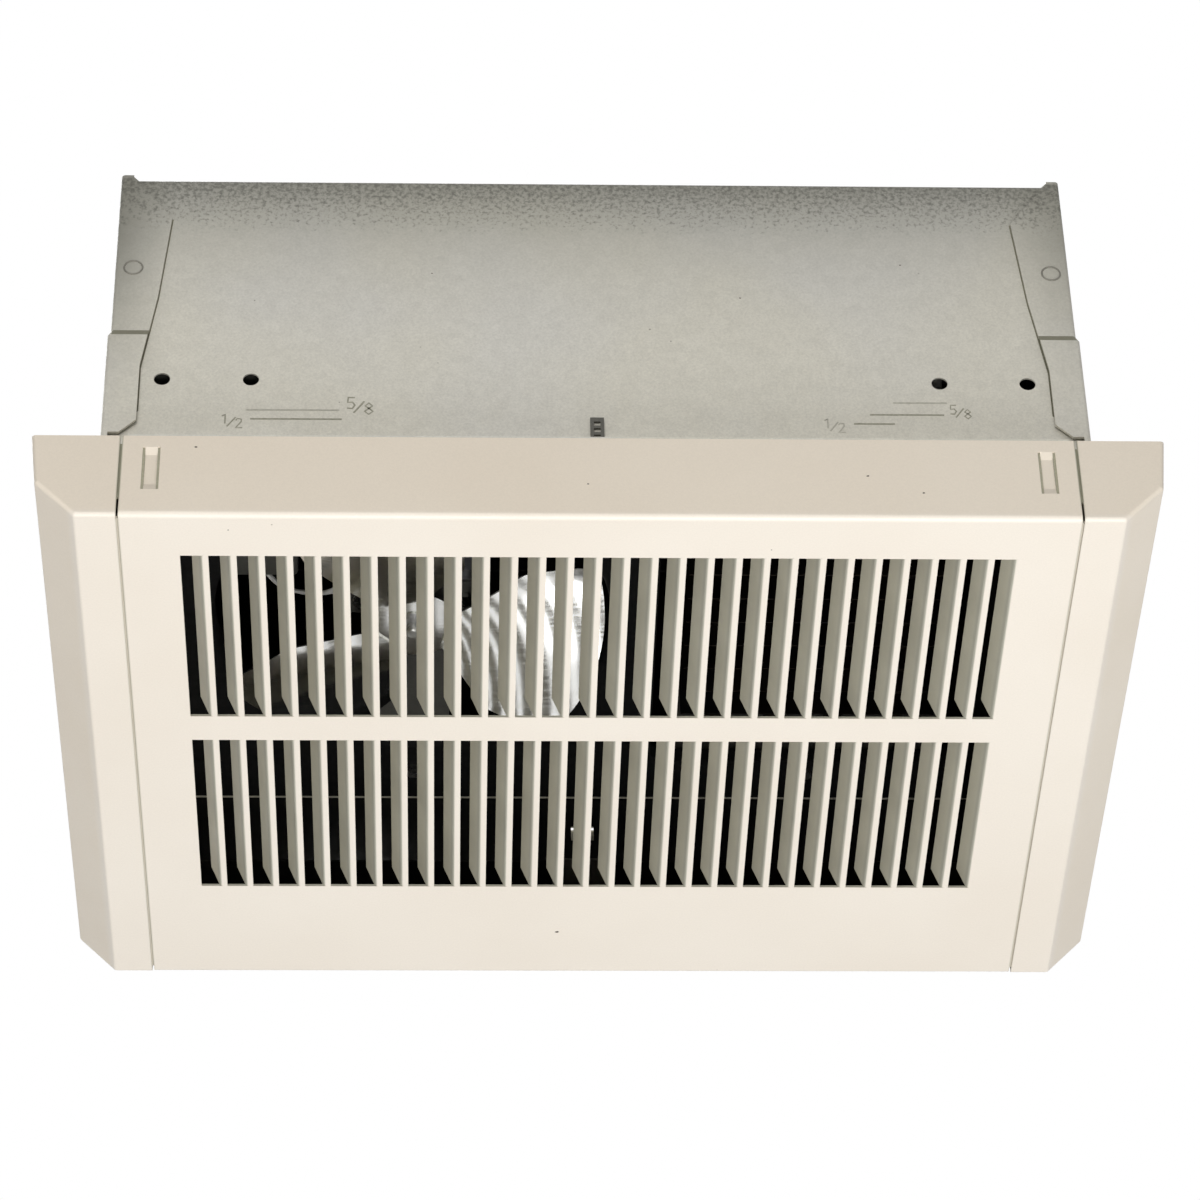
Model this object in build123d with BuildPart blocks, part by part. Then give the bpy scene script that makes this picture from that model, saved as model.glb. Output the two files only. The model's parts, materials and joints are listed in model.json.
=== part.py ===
"""Recessed fan-forced ceiling heater, in millimetres.

The origin is the middle of the grille's underside and +Z points up, into the
ceiling. -Y is the side with the near louvre row, where the fan shows on the left.
"""
import math
import os

from build123d import *

os.makedirs("parts", exist_ok=True)

# Grille
grille_sheet = 1.0
face_depth = 272.0
flange_height = 37.0
chamfer_run = 14.4
chamfer_rise = 15.0
lip_flare = 2.2
seam_half = 168.4
cap_face = 14.6
seam_gap = 0.8
face_bend = 2.0
inner_bend = 1.0
cap_bend = 1.5
lap_width = 12.0
lap_root = 4.0
cap_open_over = 3.0

# Louvres
louvre_count = 30
louvre_side_margin = 19.8
louvre_web = 1.68
row_length = 90.0
near_margin = 21.6
mullion = 13.8
louvre_angle = 62.0
louvre_bend = 1.5
louvre_blade = 7.1
louvre_taper = 4.0
louvre_relief = 0.15

# Lanced stitches that join the caps to the panel
stitch_inset = 10.8
stitch_low = 12.0
stitch_high = 31.7
stitch_strap = 4.4
stitch_window = 6.2
stitch_depth = 1.0
stitch_slope = 3.0
tongue_inset = 18.4
tongue_low = 9.0
tongue_high = 34.0

# Box
box_sheet = 1.0
box_width = 354.4
box_setback = 23.0
box_height = 151.5
box_bend = 2.0
side_bend = 1.5
side_lap = 20.0
lap_cut_over = 20.0
lap_waist_z = 126.0
lap_waist = 16.4
lap_foot = 11.4
lap_foot_z = 91.0
lap_mitre_z = 167.0
lap_mitre = 4.7
lap_end_z = 64.0
lap_corner = 6.0
joggle_step = 1.0
joggle_low_z = 106.0
joggle_high_z = 109.0
fixing_z = 85.7
fixing_outer_x = 157.5
fixing_inner_x = 125.3
fixing_radius = 2.95
knockout_radius = 11.1
knockout_y = -56.0
knockout_z = 150.0

# Hanger straps and their loops
strap_width = 5.0
strap_sheet = 0.8
strap_top_z = 67.0
strap_wall_gap = 0.3
strap_pad_width = 24.0
strap_pad_low_z = 14.0
strap_stop_gap = 0.2
strap_stop_reach = 3.0
rung_pitch = 3.2
rung_first = 2.9
rung_window_width = 2.4
rung_window_height = 1.9
rung_count = 7
loop_width = 9.0
loop_low_z = 47.0
loop_high_z = 54.0
strap_loop_gap = 0.4

# Deck, with the fan opening and the outlet
deck_sheet = 1.0
deck_z = 67.0
deck_flange = 10.0
deck_bend = 1.5
deck_fit = 0.2
orifice_radius = 75.0
orifice_roll = 4.0
orifice_collar = 7.0
outlet_low_x = 26.0
outlet_high_x = 150.0
outlet_half_depth = 86.0
outlet_hem = 5.0
outlet_corner = 6.0
ledge_sheet = 1.0
ledge_height = 15.0
ledge_reach = 16.0
ledge_half_length = 98.0
deck_screw_y = 80.0

# Fan
fan_x = -67.0
fan_z = 65.0
fan_radius = 73.0
wing_count = 3
wing_first_angle = 14.0
wing_root_x = 13.0
wing_root_half = 8.5
wing_shoulder_x = 36.0
wing_shoulder_half = 31.0
wing_shoulder_corner = 9.0
wing_tip_half = 37.0
wing_tip_corner = 10.0
wing_half_chord = 42.0
wing_pitch = 17.5
wing_camber = 3.0
wing_root_camber = 0.15
wing_twist = ((0, 0), (0.3, 0.75), (0.6, 1), (1, 1))
wing_sheet = 0.8
fan_disc_radius = 18.0
hub_flange_radius = 12.0
hub_flange = 1.6
hub_radius = 7.0
hub_height = 7.0
hub_spigot_radius = 5.0
hub_spigot = 1.2
shaft_chamfer = 0.4
wing_root_inner = 10.0

# Motor
shaft_radius = 2.38
shaft_nose = 5.0
shaft_end = 0.5
bush_clearance = 0.03
bush_radius = 4.0
thrust_radius = 4.5
thrust_gap = 0.1
stack_z = 88.0
stack_height = 22.0
stack_half_width = 25.0
stack_front = 41.0
stack_rear = 21.0
stack_corner = 3.0
rotor_bore = 12.7
air_gap = 0.4
rotor_overhang = 0.5
rotor_ring_radius = 10.5
rotor_ring = 1.5
coil_window_half = 17.0
coil_window_depth = 10.0
coil_limb = 10.0
coil_half_width = 13.0
coil_wall = 7.0
coil_corner = 3.0
bobbin_wall = 1.0
bobbin_flange = 1.5
bobbin_lip = 1.0
shading_wire = 1.6
shading_radius = 15.2
shading_low_angle = 38.0
shading_high_angle = 62.0
motor_screw_x = 19.0
motor_screw_radius = 2.0
motor_nut = 3.2
motor_nut_across = 7.0
motor_thread_end = 1.2
post_radius = 5.0
arm_height = 3.0
arm_half_length = 26.0
arm_half_width = 6.5
boss_radius = 7.0
lower_post = 5.5
upper_post = 8.0
boss_rise = 5.5
boss_inner = 2.0
bridge_sheet = 1.5
bridge_half_width = 14.0
bridge_pad_half_width = 9.0
bridge_bend = 2.5
bridge_slope = 8.0
bridge_reach = 84.0
bridge_foot = 15.0
bridge_boss_hole = 8.0

# Heating element
element_z = 92.0
element_first_x = 52.0
element_leg_pitch = 24.0
element_legs = 4
sheath_radius = 4.0
sheath_front_y = -100.0
element_straight = 91.0
fin_count = 11
fin_pitch = 14.0
fin_thickness = 0.6
fin_width = 100.0
fin_height = 28.0
bracket_sheet = 1.0
bracket_y = 88.0
bracket_half_width = 54.0
bracket_foot = 9.0
bracket_top_z = 108.0
bracket_corner = 8.0
terminal_pin_radius = 1.2
terminal_pin = 6.0
terminal_cup_radius = 3.2
terminal_cup = 3.0
terminal_tab_rise = 9.0
tab_width = 6.3
tab_sheet = 0.8

# Thermal cut-out
cutout_x = 13.0
cutout_inset = 20.0
cutout_radius = 8.0
cutout_body_radius = 7.4
cutout_cup = 4.5
cutout_height = 9.5
cutout_ear_radius = 3.6
cutout_ear_y = 11.5
cutout_flange = 1.0
cutout_tab_spread = 3.6
cutout_tab_rise = 7.0

# Wiring compartment
cover_sheet = 1.0
cover_low_z = 90.5
cover_right_x = -111.0
cover_rear_y = 3.0
cover_bend = 2.0
cover_flange = 10.0
cover_fit = 0.2
cover_screw_inset = 22.0
bushing_bore = 3.2
bushing_radius = 5.0
bushing_flange = 6.6
bushing_cap = 1.5
bushing_wall_inset = 18.8
bushing_rear_x = -124.5
bushing_z = 99.5

# Screws
screw_across = 5.5
screw_head = 2.6
sheet_screw_radius = 1.7
small_screw_radius = 1.4
small_across = 4.4
small_head = 1.8
screw_end = 3.0
small_end = 2.0
ground_screw_x = -140.0
ground_screw_y = -30.0
ground_screw_washer = 4.2
ground_screw_washer_height = 0.8

# Leads
motor_lead_radius = 0.75
motor_lead_spread = 0.9
element_lead_radius = 1.3
element_lead_spread = 1.45
lead_sides = 6
lead_sag = 0.8
lead_tail = 8.0
lead_exit = 14.0
corner_share = 0.45

# Derived places
box_half = box_width / 2
box_half_depth = face_depth / 2 - box_setback
box_top_z = flange_height + box_height
wrap_half = box_half - box_sheet
wrap_inner_y = box_half_depth - box_sheet
wrap_inner_z = box_top_z - box_sheet
panel_half = seam_half - seam_gap / 2
cap_edge = seam_half + seam_gap / 2
cap_chamfer_x = cap_edge + cap_face
lip_corner_x = cap_chamfer_x + chamfer_run
lip_top_x = lip_corner_x + lip_flare
louvre_pitch = 2 * (panel_half - louvre_side_margin) / louvre_count
slot_width = louvre_pitch - louvre_web
stitch_x = seam_half - stitch_inset
tongue_end = seam_half - tongue_inset
deck_top_z = deck_z + deck_sheet
row_near_middle = -face_depth / 2 + near_margin + row_length / 2
row_far_middle = row_near_middle + row_length + mullion
row_middles = (row_near_middle, row_far_middle)
stack_top_z = stack_z + stack_height
lower_arm_z = stack_z - lower_post - arm_height
bridge_z = lower_arm_z - bridge_sheet
upper_arm_z = stack_top_z + upper_post
motor_top_z = upper_arm_z + arm_height
disc_low_z = fan_z - wing_sheet / 2
disc_high_z = fan_z + wing_sheet / 2
hub_top_z = disc_high_z + hub_height
lower_boss_z = lower_arm_z - boss_rise
upper_boss_z = motor_top_z + boss_rise
shaft_low_z = disc_low_z - shaft_nose
shaft_high_z = upper_boss_z + shaft_end
outlet_middle_x = (outlet_low_x + outlet_high_x) / 2
element_last_x = element_first_x + (element_legs - 1) * element_leg_pitch
element_middle_x = (element_first_x + element_last_x) / 2
cutout_y = -outlet_half_depth + cutout_inset
deck_screw_x = wrap_half - ledge_reach / 2
bridge_screw_y = bridge_reach + bridge_foot / 2
bracket_screw_y = bracket_y + bracket_sheet + bracket_foot / 2
cover_screw_x = cover_right_x + cover_flange / 2
cover_left_x = -wrap_half + cover_fit
cover_front_y = -wrap_inner_y + box_bend - box_sheet + cover_fit
cover_screw_places = (
    (cover_screw_x, cover_front_y + cover_screw_inset),
    (cover_screw_x, cover_rear_y - cover_screw_inset),
)
bushing_wall_y = cover_front_y + bushing_wall_inset
deck_screw_places = [(x, y) for x in (-deck_screw_x, deck_screw_x) for y in (-deck_screw_y, deck_screw_y)]
bridge_screw_places = [(fan_x, -bridge_screw_y), (fan_x, bridge_screw_y)]
element_screw_places = [(element_middle_x, -bracket_screw_y), (element_middle_x, bracket_screw_y)]
cutout_screw_places = [(cutout_x, cutout_y - cutout_ear_y), (cutout_x, cutout_y + cutout_ear_y)]
motor_screw_places = [(fan_x - motor_screw_x, 0), (fan_x + motor_screw_x, 0)]
leg_places = [(element_first_x + leg * element_leg_pitch, element_z) for leg in range(element_legs)]
fan_axis = Axis((fan_x, 0, 0), (0, 0, 1))
fan_section = Plane(origin=(fan_x, 0, 0), x_dir=(1, 0, 0), z_dir=(0, -1, 0))


# Grille panel: a channel with two rows of lanced louvres
def louvre_profile():
    """One louvre in section, hinged at the local origin and rising to the left."""
    turn = math.radians(louvre_angle)
    half = turn / 2
    rise = (-math.cos(turn) * louvre_blade, math.sin(turn) * louvre_blade)
    outer_mid = (-louvre_bend * math.sin(half), louvre_bend * (1 - math.cos(half)))
    outer_end = (-louvre_bend * math.sin(turn), louvre_bend * (1 - math.cos(turn)))
    outer_tip = (outer_end[0] + rise[0], outer_end[1] + rise[1])
    inner_tip = (outer_tip[0] + grille_sheet * math.sin(turn), outer_tip[1] + grille_sheet * math.cos(turn))
    inner_corner = ((grille_sheet - louvre_bend) * math.tan(half), grille_sheet)
    with BuildSketch() as profile:
        with BuildLine():
            ThreePointArc((0, 0), outer_mid, outer_end)
            Polyline(outer_end, outer_tip, inner_tip, inner_corner, (0, grille_sheet), (0, 0))
        make_face()
    return profile.sketch


def louvre_rows():
    """All the louvre blades, with both ends of each blade cut back at its free edge."""
    louvre = louvre_profile()
    with BuildPart() as rows:
        with BuildSketch(Plane.XZ):
            with Locations((slot_width / 2, 0)):
                with GridLocations(louvre_pitch, 0, louvre_count, 1):
                    add(louvre)
        extrude(amount=face_depth / 2, both=True)
        half = row_length / 2 - louvre_relief
        top = louvre_bend + louvre_blade + grille_sheet
        with BuildSketch(Plane.YZ):
            for middle in row_middles:
                with BuildLine():
                    Polyline(
                        (middle - half, 0),
                        (middle + half, 0),
                        (middle + half, louvre_bend),
                        (middle + half - louvre_taper, top),
                        (middle - half + louvre_taper, top),
                        (middle - half, louvre_bend),
                        close=True,
                    )
                make_face()
        extrude(amount=panel_half, both=True, mode=Mode.INTERSECT)
    return rows.part


def stitch(layer):
    """The pressed-in strap of one stitch, in a sheet that many layers in from the front."""
    front = -face_depth / 2 + layer * grille_sheet
    with BuildPart() as strap:
        with BuildSketch(Plane.YZ.offset(stitch_x - stitch_strap / 2)):
            with BuildLine():
                Polyline(
                    (front, stitch_low),
                    (front + stitch_depth, stitch_low + stitch_slope),
                    (front + stitch_depth, stitch_high - stitch_slope),
                    (front, stitch_high),
                    (front + grille_sheet, stitch_high),
                    (front + grille_sheet + stitch_depth, stitch_high - stitch_slope),
                    (front + grille_sheet + stitch_depth, stitch_low + stitch_slope),
                    (front + grille_sheet, stitch_low),
                    close=True,
                )
            make_face()
        extrude(amount=stitch_strap)
    return strap.part


with BuildPart() as grille_panel:
    with BuildSketch(Plane.YZ) as channel:
        with Locations((0, flange_height / 2)):
            Rectangle(face_depth, flange_height)
        fillet(channel.vertices().group_by(Axis.Y)[0], radius=face_bend)
        with BuildSketch(mode=Mode.SUBTRACT) as channel_inside:
            with Locations((0, grille_sheet + flange_height / 2)):
                Rectangle(face_depth - 2 * grille_sheet, flange_height)
            fillet(channel_inside.vertices().group_by(Axis.Y)[0], radius=inner_bend)
    extrude(amount=panel_half, both=True)
    with BuildSketch(Plane.XY):
        for row_middle in row_middles:
            with Locations((0, row_middle)):
                with GridLocations(louvre_pitch, 0, louvre_count, 1):
                    Rectangle(slot_width, row_length)
    extrude(amount=grille_sheet, mode=Mode.SUBTRACT)
    add(louvre_rows())
    with BuildSketch(Plane.XZ):
        for side in (-1, 1):
            with Locations((side * stitch_x, (stitch_low + stitch_high) / 2)):
                Rectangle(stitch_window, stitch_high - stitch_low)
    extrude(amount=face_depth / 2, both=True, mode=Mode.SUBTRACT)
    panel_stitch = stitch(0)
    for quarter in (panel_stitch, panel_stitch.mirror(Plane.YZ)):
        add(quarter)
        add(quarter.mirror(Plane.XZ))
grille_panel.part.label = "grille_panel"
export_step(grille_panel.part, "parts/grille_panel.step")


# End caps: chamfered ends with a flared lip, their laps reach behind the panel
def cap_outline(extra):
    """Section of the right cap, grown by extra at its two open sides."""
    flare = lip_flare / (flange_height - chamfer_rise)
    with BuildSketch() as outline:
        with BuildLine():
            Polyline(
                (cap_edge - extra, 0),
                (cap_chamfer_x, 0),
                (lip_corner_x, chamfer_rise),
                (lip_top_x + extra * flare, flange_height + extra),
                (cap_edge - extra, flange_height + extra),
                close=True,
            )
        make_face()
    return outline.sketch


def lap_stack():
    """Face lap and the two flange tongues of the right cap, one sheet behind the panel."""
    root = cap_edge + lap_root
    inner_face_y = face_depth / 2 - grille_sheet
    with BuildPart() as laps:
        with BuildSketch(Plane.XY.offset(grille_sheet)):
            with Locations(((root + cap_edge - lap_width) / 2, 0)):
                Rectangle(root - cap_edge + lap_width, face_depth - 2 * (grille_sheet + face_bend))
        extrude(amount=grille_sheet)
        with BuildSketch(Plane.XZ.offset(inner_face_y)):
            with Locations(((root + tongue_end) / 2, (tongue_low + tongue_high) / 2)):
                Rectangle(root - tongue_end, tongue_high - tongue_low)
            with Locations((stitch_x, (stitch_low + stitch_high) / 2)):
                Rectangle(stitch_window, stitch_high - stitch_low, mode=Mode.SUBTRACT)
        extrude(amount=-grille_sheet)
        add(stitch(1))
        mirror(about=Plane.XZ)
    return laps.part


with BuildPart() as end_cap_right:
    with BuildSketch(Plane.XZ):
        add(cap_outline(0))
    extrude(amount=face_depth / 2, both=True)
    fillet(
        end_cap_right.edges()
        .filter_by(GeomType.LINE)
        .filter_by_position(Axis.Z, -grille_sheet, flange_height - grille_sheet)
        .filter_by_position(Axis.X, cap_edge + grille_sheet, lip_top_x)
        .filter_by(Axis.Y),
        radius=cap_bend,
    )
    rim = end_cap_right.edges().group_by(Axis.Y)
    fillet(
        (rim[0] + rim[-1]).filter_by_position(Axis.Z, -grille_sheet, cap_bend),
        radius=cap_bend,
    )
    with BuildSketch(Plane.XZ):
        add(cap_outline(cap_open_over))
        offset(amount=-grille_sheet, kind=Kind.INTERSECTION)
    extrude(amount=face_depth / 2 - grille_sheet, both=True, mode=Mode.SUBTRACT)
    add(lap_stack())
end_cap_right.part.label = "end_cap_right"
export_step(end_cap_right.part, "parts/end_cap_right.step")

with BuildPart() as end_cap_left:
    add(end_cap_right.part.mirror(Plane.YZ))
end_cap_left.part.label = "end_cap_left"
export_step(end_cap_left.part, "parts/end_cap_left.step")


# Hanger straps: ladder strips that hold the grille up against the box walls
def hanger_strap():
    """The front strap: pad on the panel flange, stop plate under the wall, ladder."""
    flange_y = -face_depth / 2 + grille_sheet
    stop_z = flange_height - strap_stop_gap
    ladder_outer_y = -box_half_depth - strap_wall_gap - strap_sheet
    stop_y = -box_half_depth + strap_stop_reach
    with BuildPart() as strap:
        with BuildSketch(Plane.YZ) as bent_pad:
            with BuildLine():
                Polyline(
                    (flange_y, strap_pad_low_z),
                    (flange_y, stop_z),
                    (stop_y, stop_z),
                    (stop_y, stop_z - strap_sheet),
                    (flange_y + strap_sheet, stop_z - strap_sheet),
                    (flange_y + strap_sheet, strap_pad_low_z),
                    close=True,
                )
            make_face()
        extrude(amount=strap_pad_width / 2, both=True)
        with BuildSketch(Plane.XZ.offset(-ladder_outer_y)):
            with Locations((0, (strap_top_z + stop_z) / 2 - strap_sheet / 2)):
                Rectangle(strap_width, strap_top_z - stop_z + strap_sheet)
            for rung in range(rung_count):
                with Locations((0, strap_top_z - rung_first - rung * rung_pitch)):
                    Rectangle(rung_window_width, rung_window_height, mode=Mode.SUBTRACT)
        extrude(amount=-strap_sheet)
    return strap.part


with BuildPart() as hanger_strap_front:
    add(hanger_strap())
hanger_strap_front.part.label = "hanger_strap_front"
export_step(hanger_strap_front.part, "parts/hanger_strap_front.step")

with BuildPart() as hanger_strap_rear:
    add(hanger_strap().mirror(Plane.XZ))
hanger_strap_rear.part.label = "hanger_strap_rear"
export_step(hanger_strap_rear.part, "parts/hanger_strap_rear.step")


# Box wrap: front wall, top and rear wall in one sheet, with a loop for each strap
def strap_loop():
    """Raised bridge on the front wall that the ladder of a hanger strap runs under."""
    wall_y = -box_half_depth
    raise_y = strap_wall_gap + strap_sheet + strap_loop_gap
    with BuildPart() as loop:
        with BuildSketch(Plane.YZ):
            with Locations((wall_y - raise_y / 2, (loop_low_z + loop_high_z) / 2)):
                Rectangle(raise_y + 2 * box_sheet, loop_high_z - loop_low_z)
        extrude(amount=loop_width / 2 + box_sheet, both=True)
        with BuildSketch(Plane.YZ):
            with Locations((wall_y + box_sheet - raise_y / 2, (loop_low_z + loop_high_z) / 2)):
                Rectangle(raise_y + 2 * box_sheet, loop_high_z - loop_low_z)
        extrude(amount=loop_width / 2, both=True, mode=Mode.SUBTRACT)
        outer = loop.edges().filter_by(Axis.Z).group_by(Axis.Y)[0]
        fillet(outer, radius=box_sheet)
    return loop.part


fixing_places = (
    (-fixing_outer_x, fixing_z),
    (-fixing_inner_x, fixing_z),
    (fixing_inner_x, fixing_z),
    (fixing_outer_x, fixing_z),
)

with BuildPart() as box_wrap:
    with BuildSketch(Plane.YZ) as wrap_section:
        with Locations((0, flange_height + box_height / 2)):
            Rectangle(2 * box_half_depth, box_height)
        fillet(wrap_section.vertices().group_by(Axis.Y)[-1], radius=box_bend)
        with BuildSketch(mode=Mode.SUBTRACT) as wrap_inside:
            with Locations((0, flange_height + box_height / 2 - box_sheet)):
                Rectangle(2 * wrap_inner_y, box_height)
            fillet(wrap_inside.vertices().group_by(Axis.Y)[-1], radius=box_bend - box_sheet)
    extrude(amount=wrap_half, both=True)
    with BuildSketch(Plane.XZ):
        with Locations(*fixing_places):
            Circle(fixing_radius)
    extrude(amount=face_depth, both=True, mode=Mode.SUBTRACT)
    with BuildSketch(Plane.XZ):
        with Locations((0, (loop_low_z + loop_high_z) / 2)):
            Rectangle(loop_width, loop_high_z - loop_low_z)
    extrude(amount=face_depth, both=True, mode=Mode.SUBTRACT)
    front_loop = strap_loop()
    add(front_loop)
    add(front_loop.mirror(Plane.XZ))
    with BuildSketch(Plane.XY.offset(wrap_inner_z)):
        with Locations((ground_screw_x, ground_screw_y), *cover_screw_places):
            Circle(sheet_screw_radius)
    extrude(amount=box_sheet, mode=Mode.SUBTRACT)
box_wrap.part.label = "box_wrap"
export_step(box_wrap.part, "parts/box_wrap.step")


# Side panels: trays whose flanges lap over the wrap and step out below a joggle
def tray_face(step):
    """Plan section of the right side panel, stepped outwards by that much."""
    half_depth = box_half_depth + box_sheet + step
    with BuildSketch() as section:
        with Locations((box_half + step - side_lap / 2, 0)):
            Rectangle(side_lap, 2 * half_depth)
        fillet(section.vertices().group_by(Axis.X)[-1], radius=side_bend)
        with BuildSketch(mode=Mode.SUBTRACT):
            with Locations((box_half + step - box_sheet - side_lap / 2, 0)):
                Rectangle(side_lap, 2 * (half_depth - box_sheet))
    return section.sketch


with BuildPart() as side_panel_right:
    with BuildSketch(Plane.XY.offset(joggle_high_z)):
        add(tray_face(0))
    extrude(amount=box_top_z + box_sheet - joggle_high_z)
    with BuildSketch(Plane.XY.offset(joggle_low_z)):
        add(tray_face(joggle_step))
    with BuildSketch(Plane.XY.offset(joggle_high_z)):
        add(tray_face(0))
    loft()
    with BuildSketch(Plane.XY.offset(flange_height)):
        add(tray_face(joggle_step))
    extrude(amount=joggle_low_z - flange_height)
    with BuildSketch(Plane.XZ):
        with BuildLine():
            Polyline(
                (box_half - side_lap - lap_cut_over, box_top_z + 2 * box_sheet),
                (box_half - lap_mitre, box_top_z + 2 * box_sheet),
                (box_half - lap_mitre, box_top_z),
                (box_half - side_lap, lap_mitre_z),
                (box_half - lap_waist, lap_waist_z),
                (box_half - lap_foot, lap_foot_z),
                (box_half - lap_foot, lap_end_z),
                (box_half - lap_foot + lap_corner, lap_end_z - lap_corner),
                (box_half - side_bend, lap_end_z - lap_corner),
                (box_half - side_bend, flange_height - box_sheet),
                (box_half - side_lap - lap_cut_over, flange_height - box_sheet),
                close=True,
            )
        make_face()
    extrude(amount=face_depth, both=True, mode=Mode.SUBTRACT)
    with BuildSketch(Plane.XY.offset(box_top_z)):
        with BuildLine():
            Polyline(
                (box_half - side_bend, -box_half_depth),
                (box_half - side_bend, box_half_depth),
                (box_half - lap_mitre, box_half_depth),
                (box_half - side_lap, box_half_depth - side_lap),
                (box_half - side_lap, -box_half_depth + side_lap),
                (box_half - lap_mitre, -box_half_depth),
                close=True,
            )
        make_face()
    extrude(amount=box_sheet)
side_panel_right.part.label = "side_panel_right"
export_step(side_panel_right.part, "parts/side_panel_right.step")

with BuildPart() as side_panel_left:
    add(side_panel_right.part.mirror(Plane.YZ))
    with BuildSketch(Plane.YZ.offset(-box_half - box_sheet)):
        with Locations((knockout_y, knockout_z)):
            Circle(knockout_radius)
    extrude(amount=3 * box_sheet, mode=Mode.SUBTRACT)
side_panel_left.part.label = "side_panel_left"
export_step(side_panel_left.part, "parts/side_panel_left.step")


# Screws: hexagonal heads behind a plane, shanks in front of it
def screws(plane, places, radius, across, head, reach):
    """Screws of one kind, each a solid of its own."""
    with BuildPart() as group:
        with BuildSketch(plane):
            with Locations(*places):
                RegularPolygon(across / 2, 6, major_radius=False)
        extrude(amount=-head)
        with BuildSketch(plane):
            with Locations(*places):
                Circle(radius)
        extrude(amount=reach)
    return group.part


# Deck: black sheet with the fan opening on the left and the hot air outlet on the right
deck_half_depth = wrap_inner_y - deck_fit

with BuildPart() as heater_deck:
    with BuildSketch(Plane.YZ) as deck_channel:
        with Locations((0, deck_z + deck_flange / 2)):
            Rectangle(2 * deck_half_depth, deck_flange)
        fillet(deck_channel.vertices().group_by(Axis.Y)[0], radius=deck_bend)
        with BuildSketch(mode=Mode.SUBTRACT) as deck_inside:
            with Locations((0, deck_top_z + deck_flange / 2)):
                Rectangle(2 * (deck_half_depth - deck_sheet), deck_flange)
            fillet(deck_inside.vertices().group_by(Axis.Y)[0], radius=deck_bend - deck_sheet)
    extrude(amount=wrap_half - deck_fit, both=True)
    with BuildSketch(Plane.XY.offset(deck_z)):
        with Locations((fan_x, 0)):
            Circle(orifice_radius + orifice_roll)
        with Locations((outlet_middle_x, 0)):
            RectangleRounded(outlet_high_x - outlet_low_x, 2 * outlet_half_depth, outlet_corner)
    extrude(amount=deck_sheet, mode=Mode.SUBTRACT)
    with BuildSketch(fan_section):
        with BuildLine():
            RadiusArc(
                (orifice_radius + orifice_roll, deck_z),
                (orifice_radius, deck_z + orifice_roll),
                orifice_roll,
            )
            Line((orifice_radius, deck_z + orifice_roll), (orifice_radius, deck_top_z + orifice_collar))
            Line(
                (orifice_radius, deck_top_z + orifice_collar),
                (orifice_radius + deck_sheet, deck_top_z + orifice_collar),
            )
            Line(
                (orifice_radius + deck_sheet, deck_top_z + orifice_collar),
                (orifice_radius + deck_sheet, deck_z + orifice_roll),
            )
            RadiusArc(
                (orifice_radius + deck_sheet, deck_z + orifice_roll),
                (orifice_radius + orifice_roll, deck_top_z),
                -(orifice_roll - deck_sheet),
            )
            Line((orifice_radius + orifice_roll, deck_top_z), (orifice_radius + orifice_roll, deck_z))
        make_face()
    revolve(axis=fan_axis)
    with BuildSketch(Plane.XY.offset(deck_top_z)):
        with Locations((outlet_middle_x, 0)):
            RectangleRounded(
                outlet_high_x - outlet_low_x + 2 * deck_sheet,
                2 * (outlet_half_depth + deck_sheet),
                outlet_corner + deck_sheet,
            )
            RectangleRounded(
                outlet_high_x - outlet_low_x,
                2 * outlet_half_depth,
                outlet_corner,
                mode=Mode.SUBTRACT,
            )
    extrude(amount=outlet_hem)
    with BuildSketch(Plane.XY.offset(deck_z)):
        with Locations(*deck_screw_places, *bridge_screw_places):
            Circle(sheet_screw_radius)
        with Locations(*element_screw_places, *cutout_screw_places):
            Circle(small_screw_radius)
    extrude(amount=deck_sheet, mode=Mode.SUBTRACT)
heater_deck.part.label = "heater_deck"
export_step(heater_deck.part, "parts/heater_deck.step")


# Ledges: angles welded to the side panels, the deck is screwed up against them
with BuildPart() as deck_ledge_right:
    ledge_outer_x = box_half + joggle_step - box_sheet
    with BuildSketch(Plane.XZ):
        with BuildLine():
            Polyline(
                (ledge_outer_x, deck_top_z),
                (ledge_outer_x, deck_top_z + ledge_height),
                (ledge_outer_x - ledge_sheet, deck_top_z + ledge_height),
                (ledge_outer_x - ledge_sheet, deck_top_z + ledge_sheet),
                (ledge_outer_x - ledge_reach, deck_top_z + ledge_sheet),
                (ledge_outer_x - ledge_reach, deck_top_z),
                close=True,
            )
        make_face()
    extrude(amount=ledge_half_length, both=True)
    with BuildSketch(Plane.XY.offset(deck_top_z)):
        with Locations(*deck_screw_places):
            Circle(sheet_screw_radius)
    extrude(amount=ledge_sheet, mode=Mode.SUBTRACT)
deck_ledge_right.part.label = "deck_ledge_right"
export_step(deck_ledge_right.part, "parts/deck_ledge_right.step")

with BuildPart() as deck_ledge_left:
    add(deck_ledge_right.part.mirror(Plane.YZ))
deck_ledge_left.part.label = "deck_ledge_left"
export_step(deck_ledge_left.part, "parts/deck_ledge_left.step")

with BuildPart() as deck_screws:
    add(screws(
        Plane.XY.offset(deck_z),
        deck_screw_places,
        sheet_screw_radius,
        screw_across,
        screw_head,
        deck_sheet + ledge_sheet + screw_end,
    ))
deck_screws.part.label = "deck_screws"
export_step(deck_screws.part, "parts/deck_screws.step")


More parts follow.
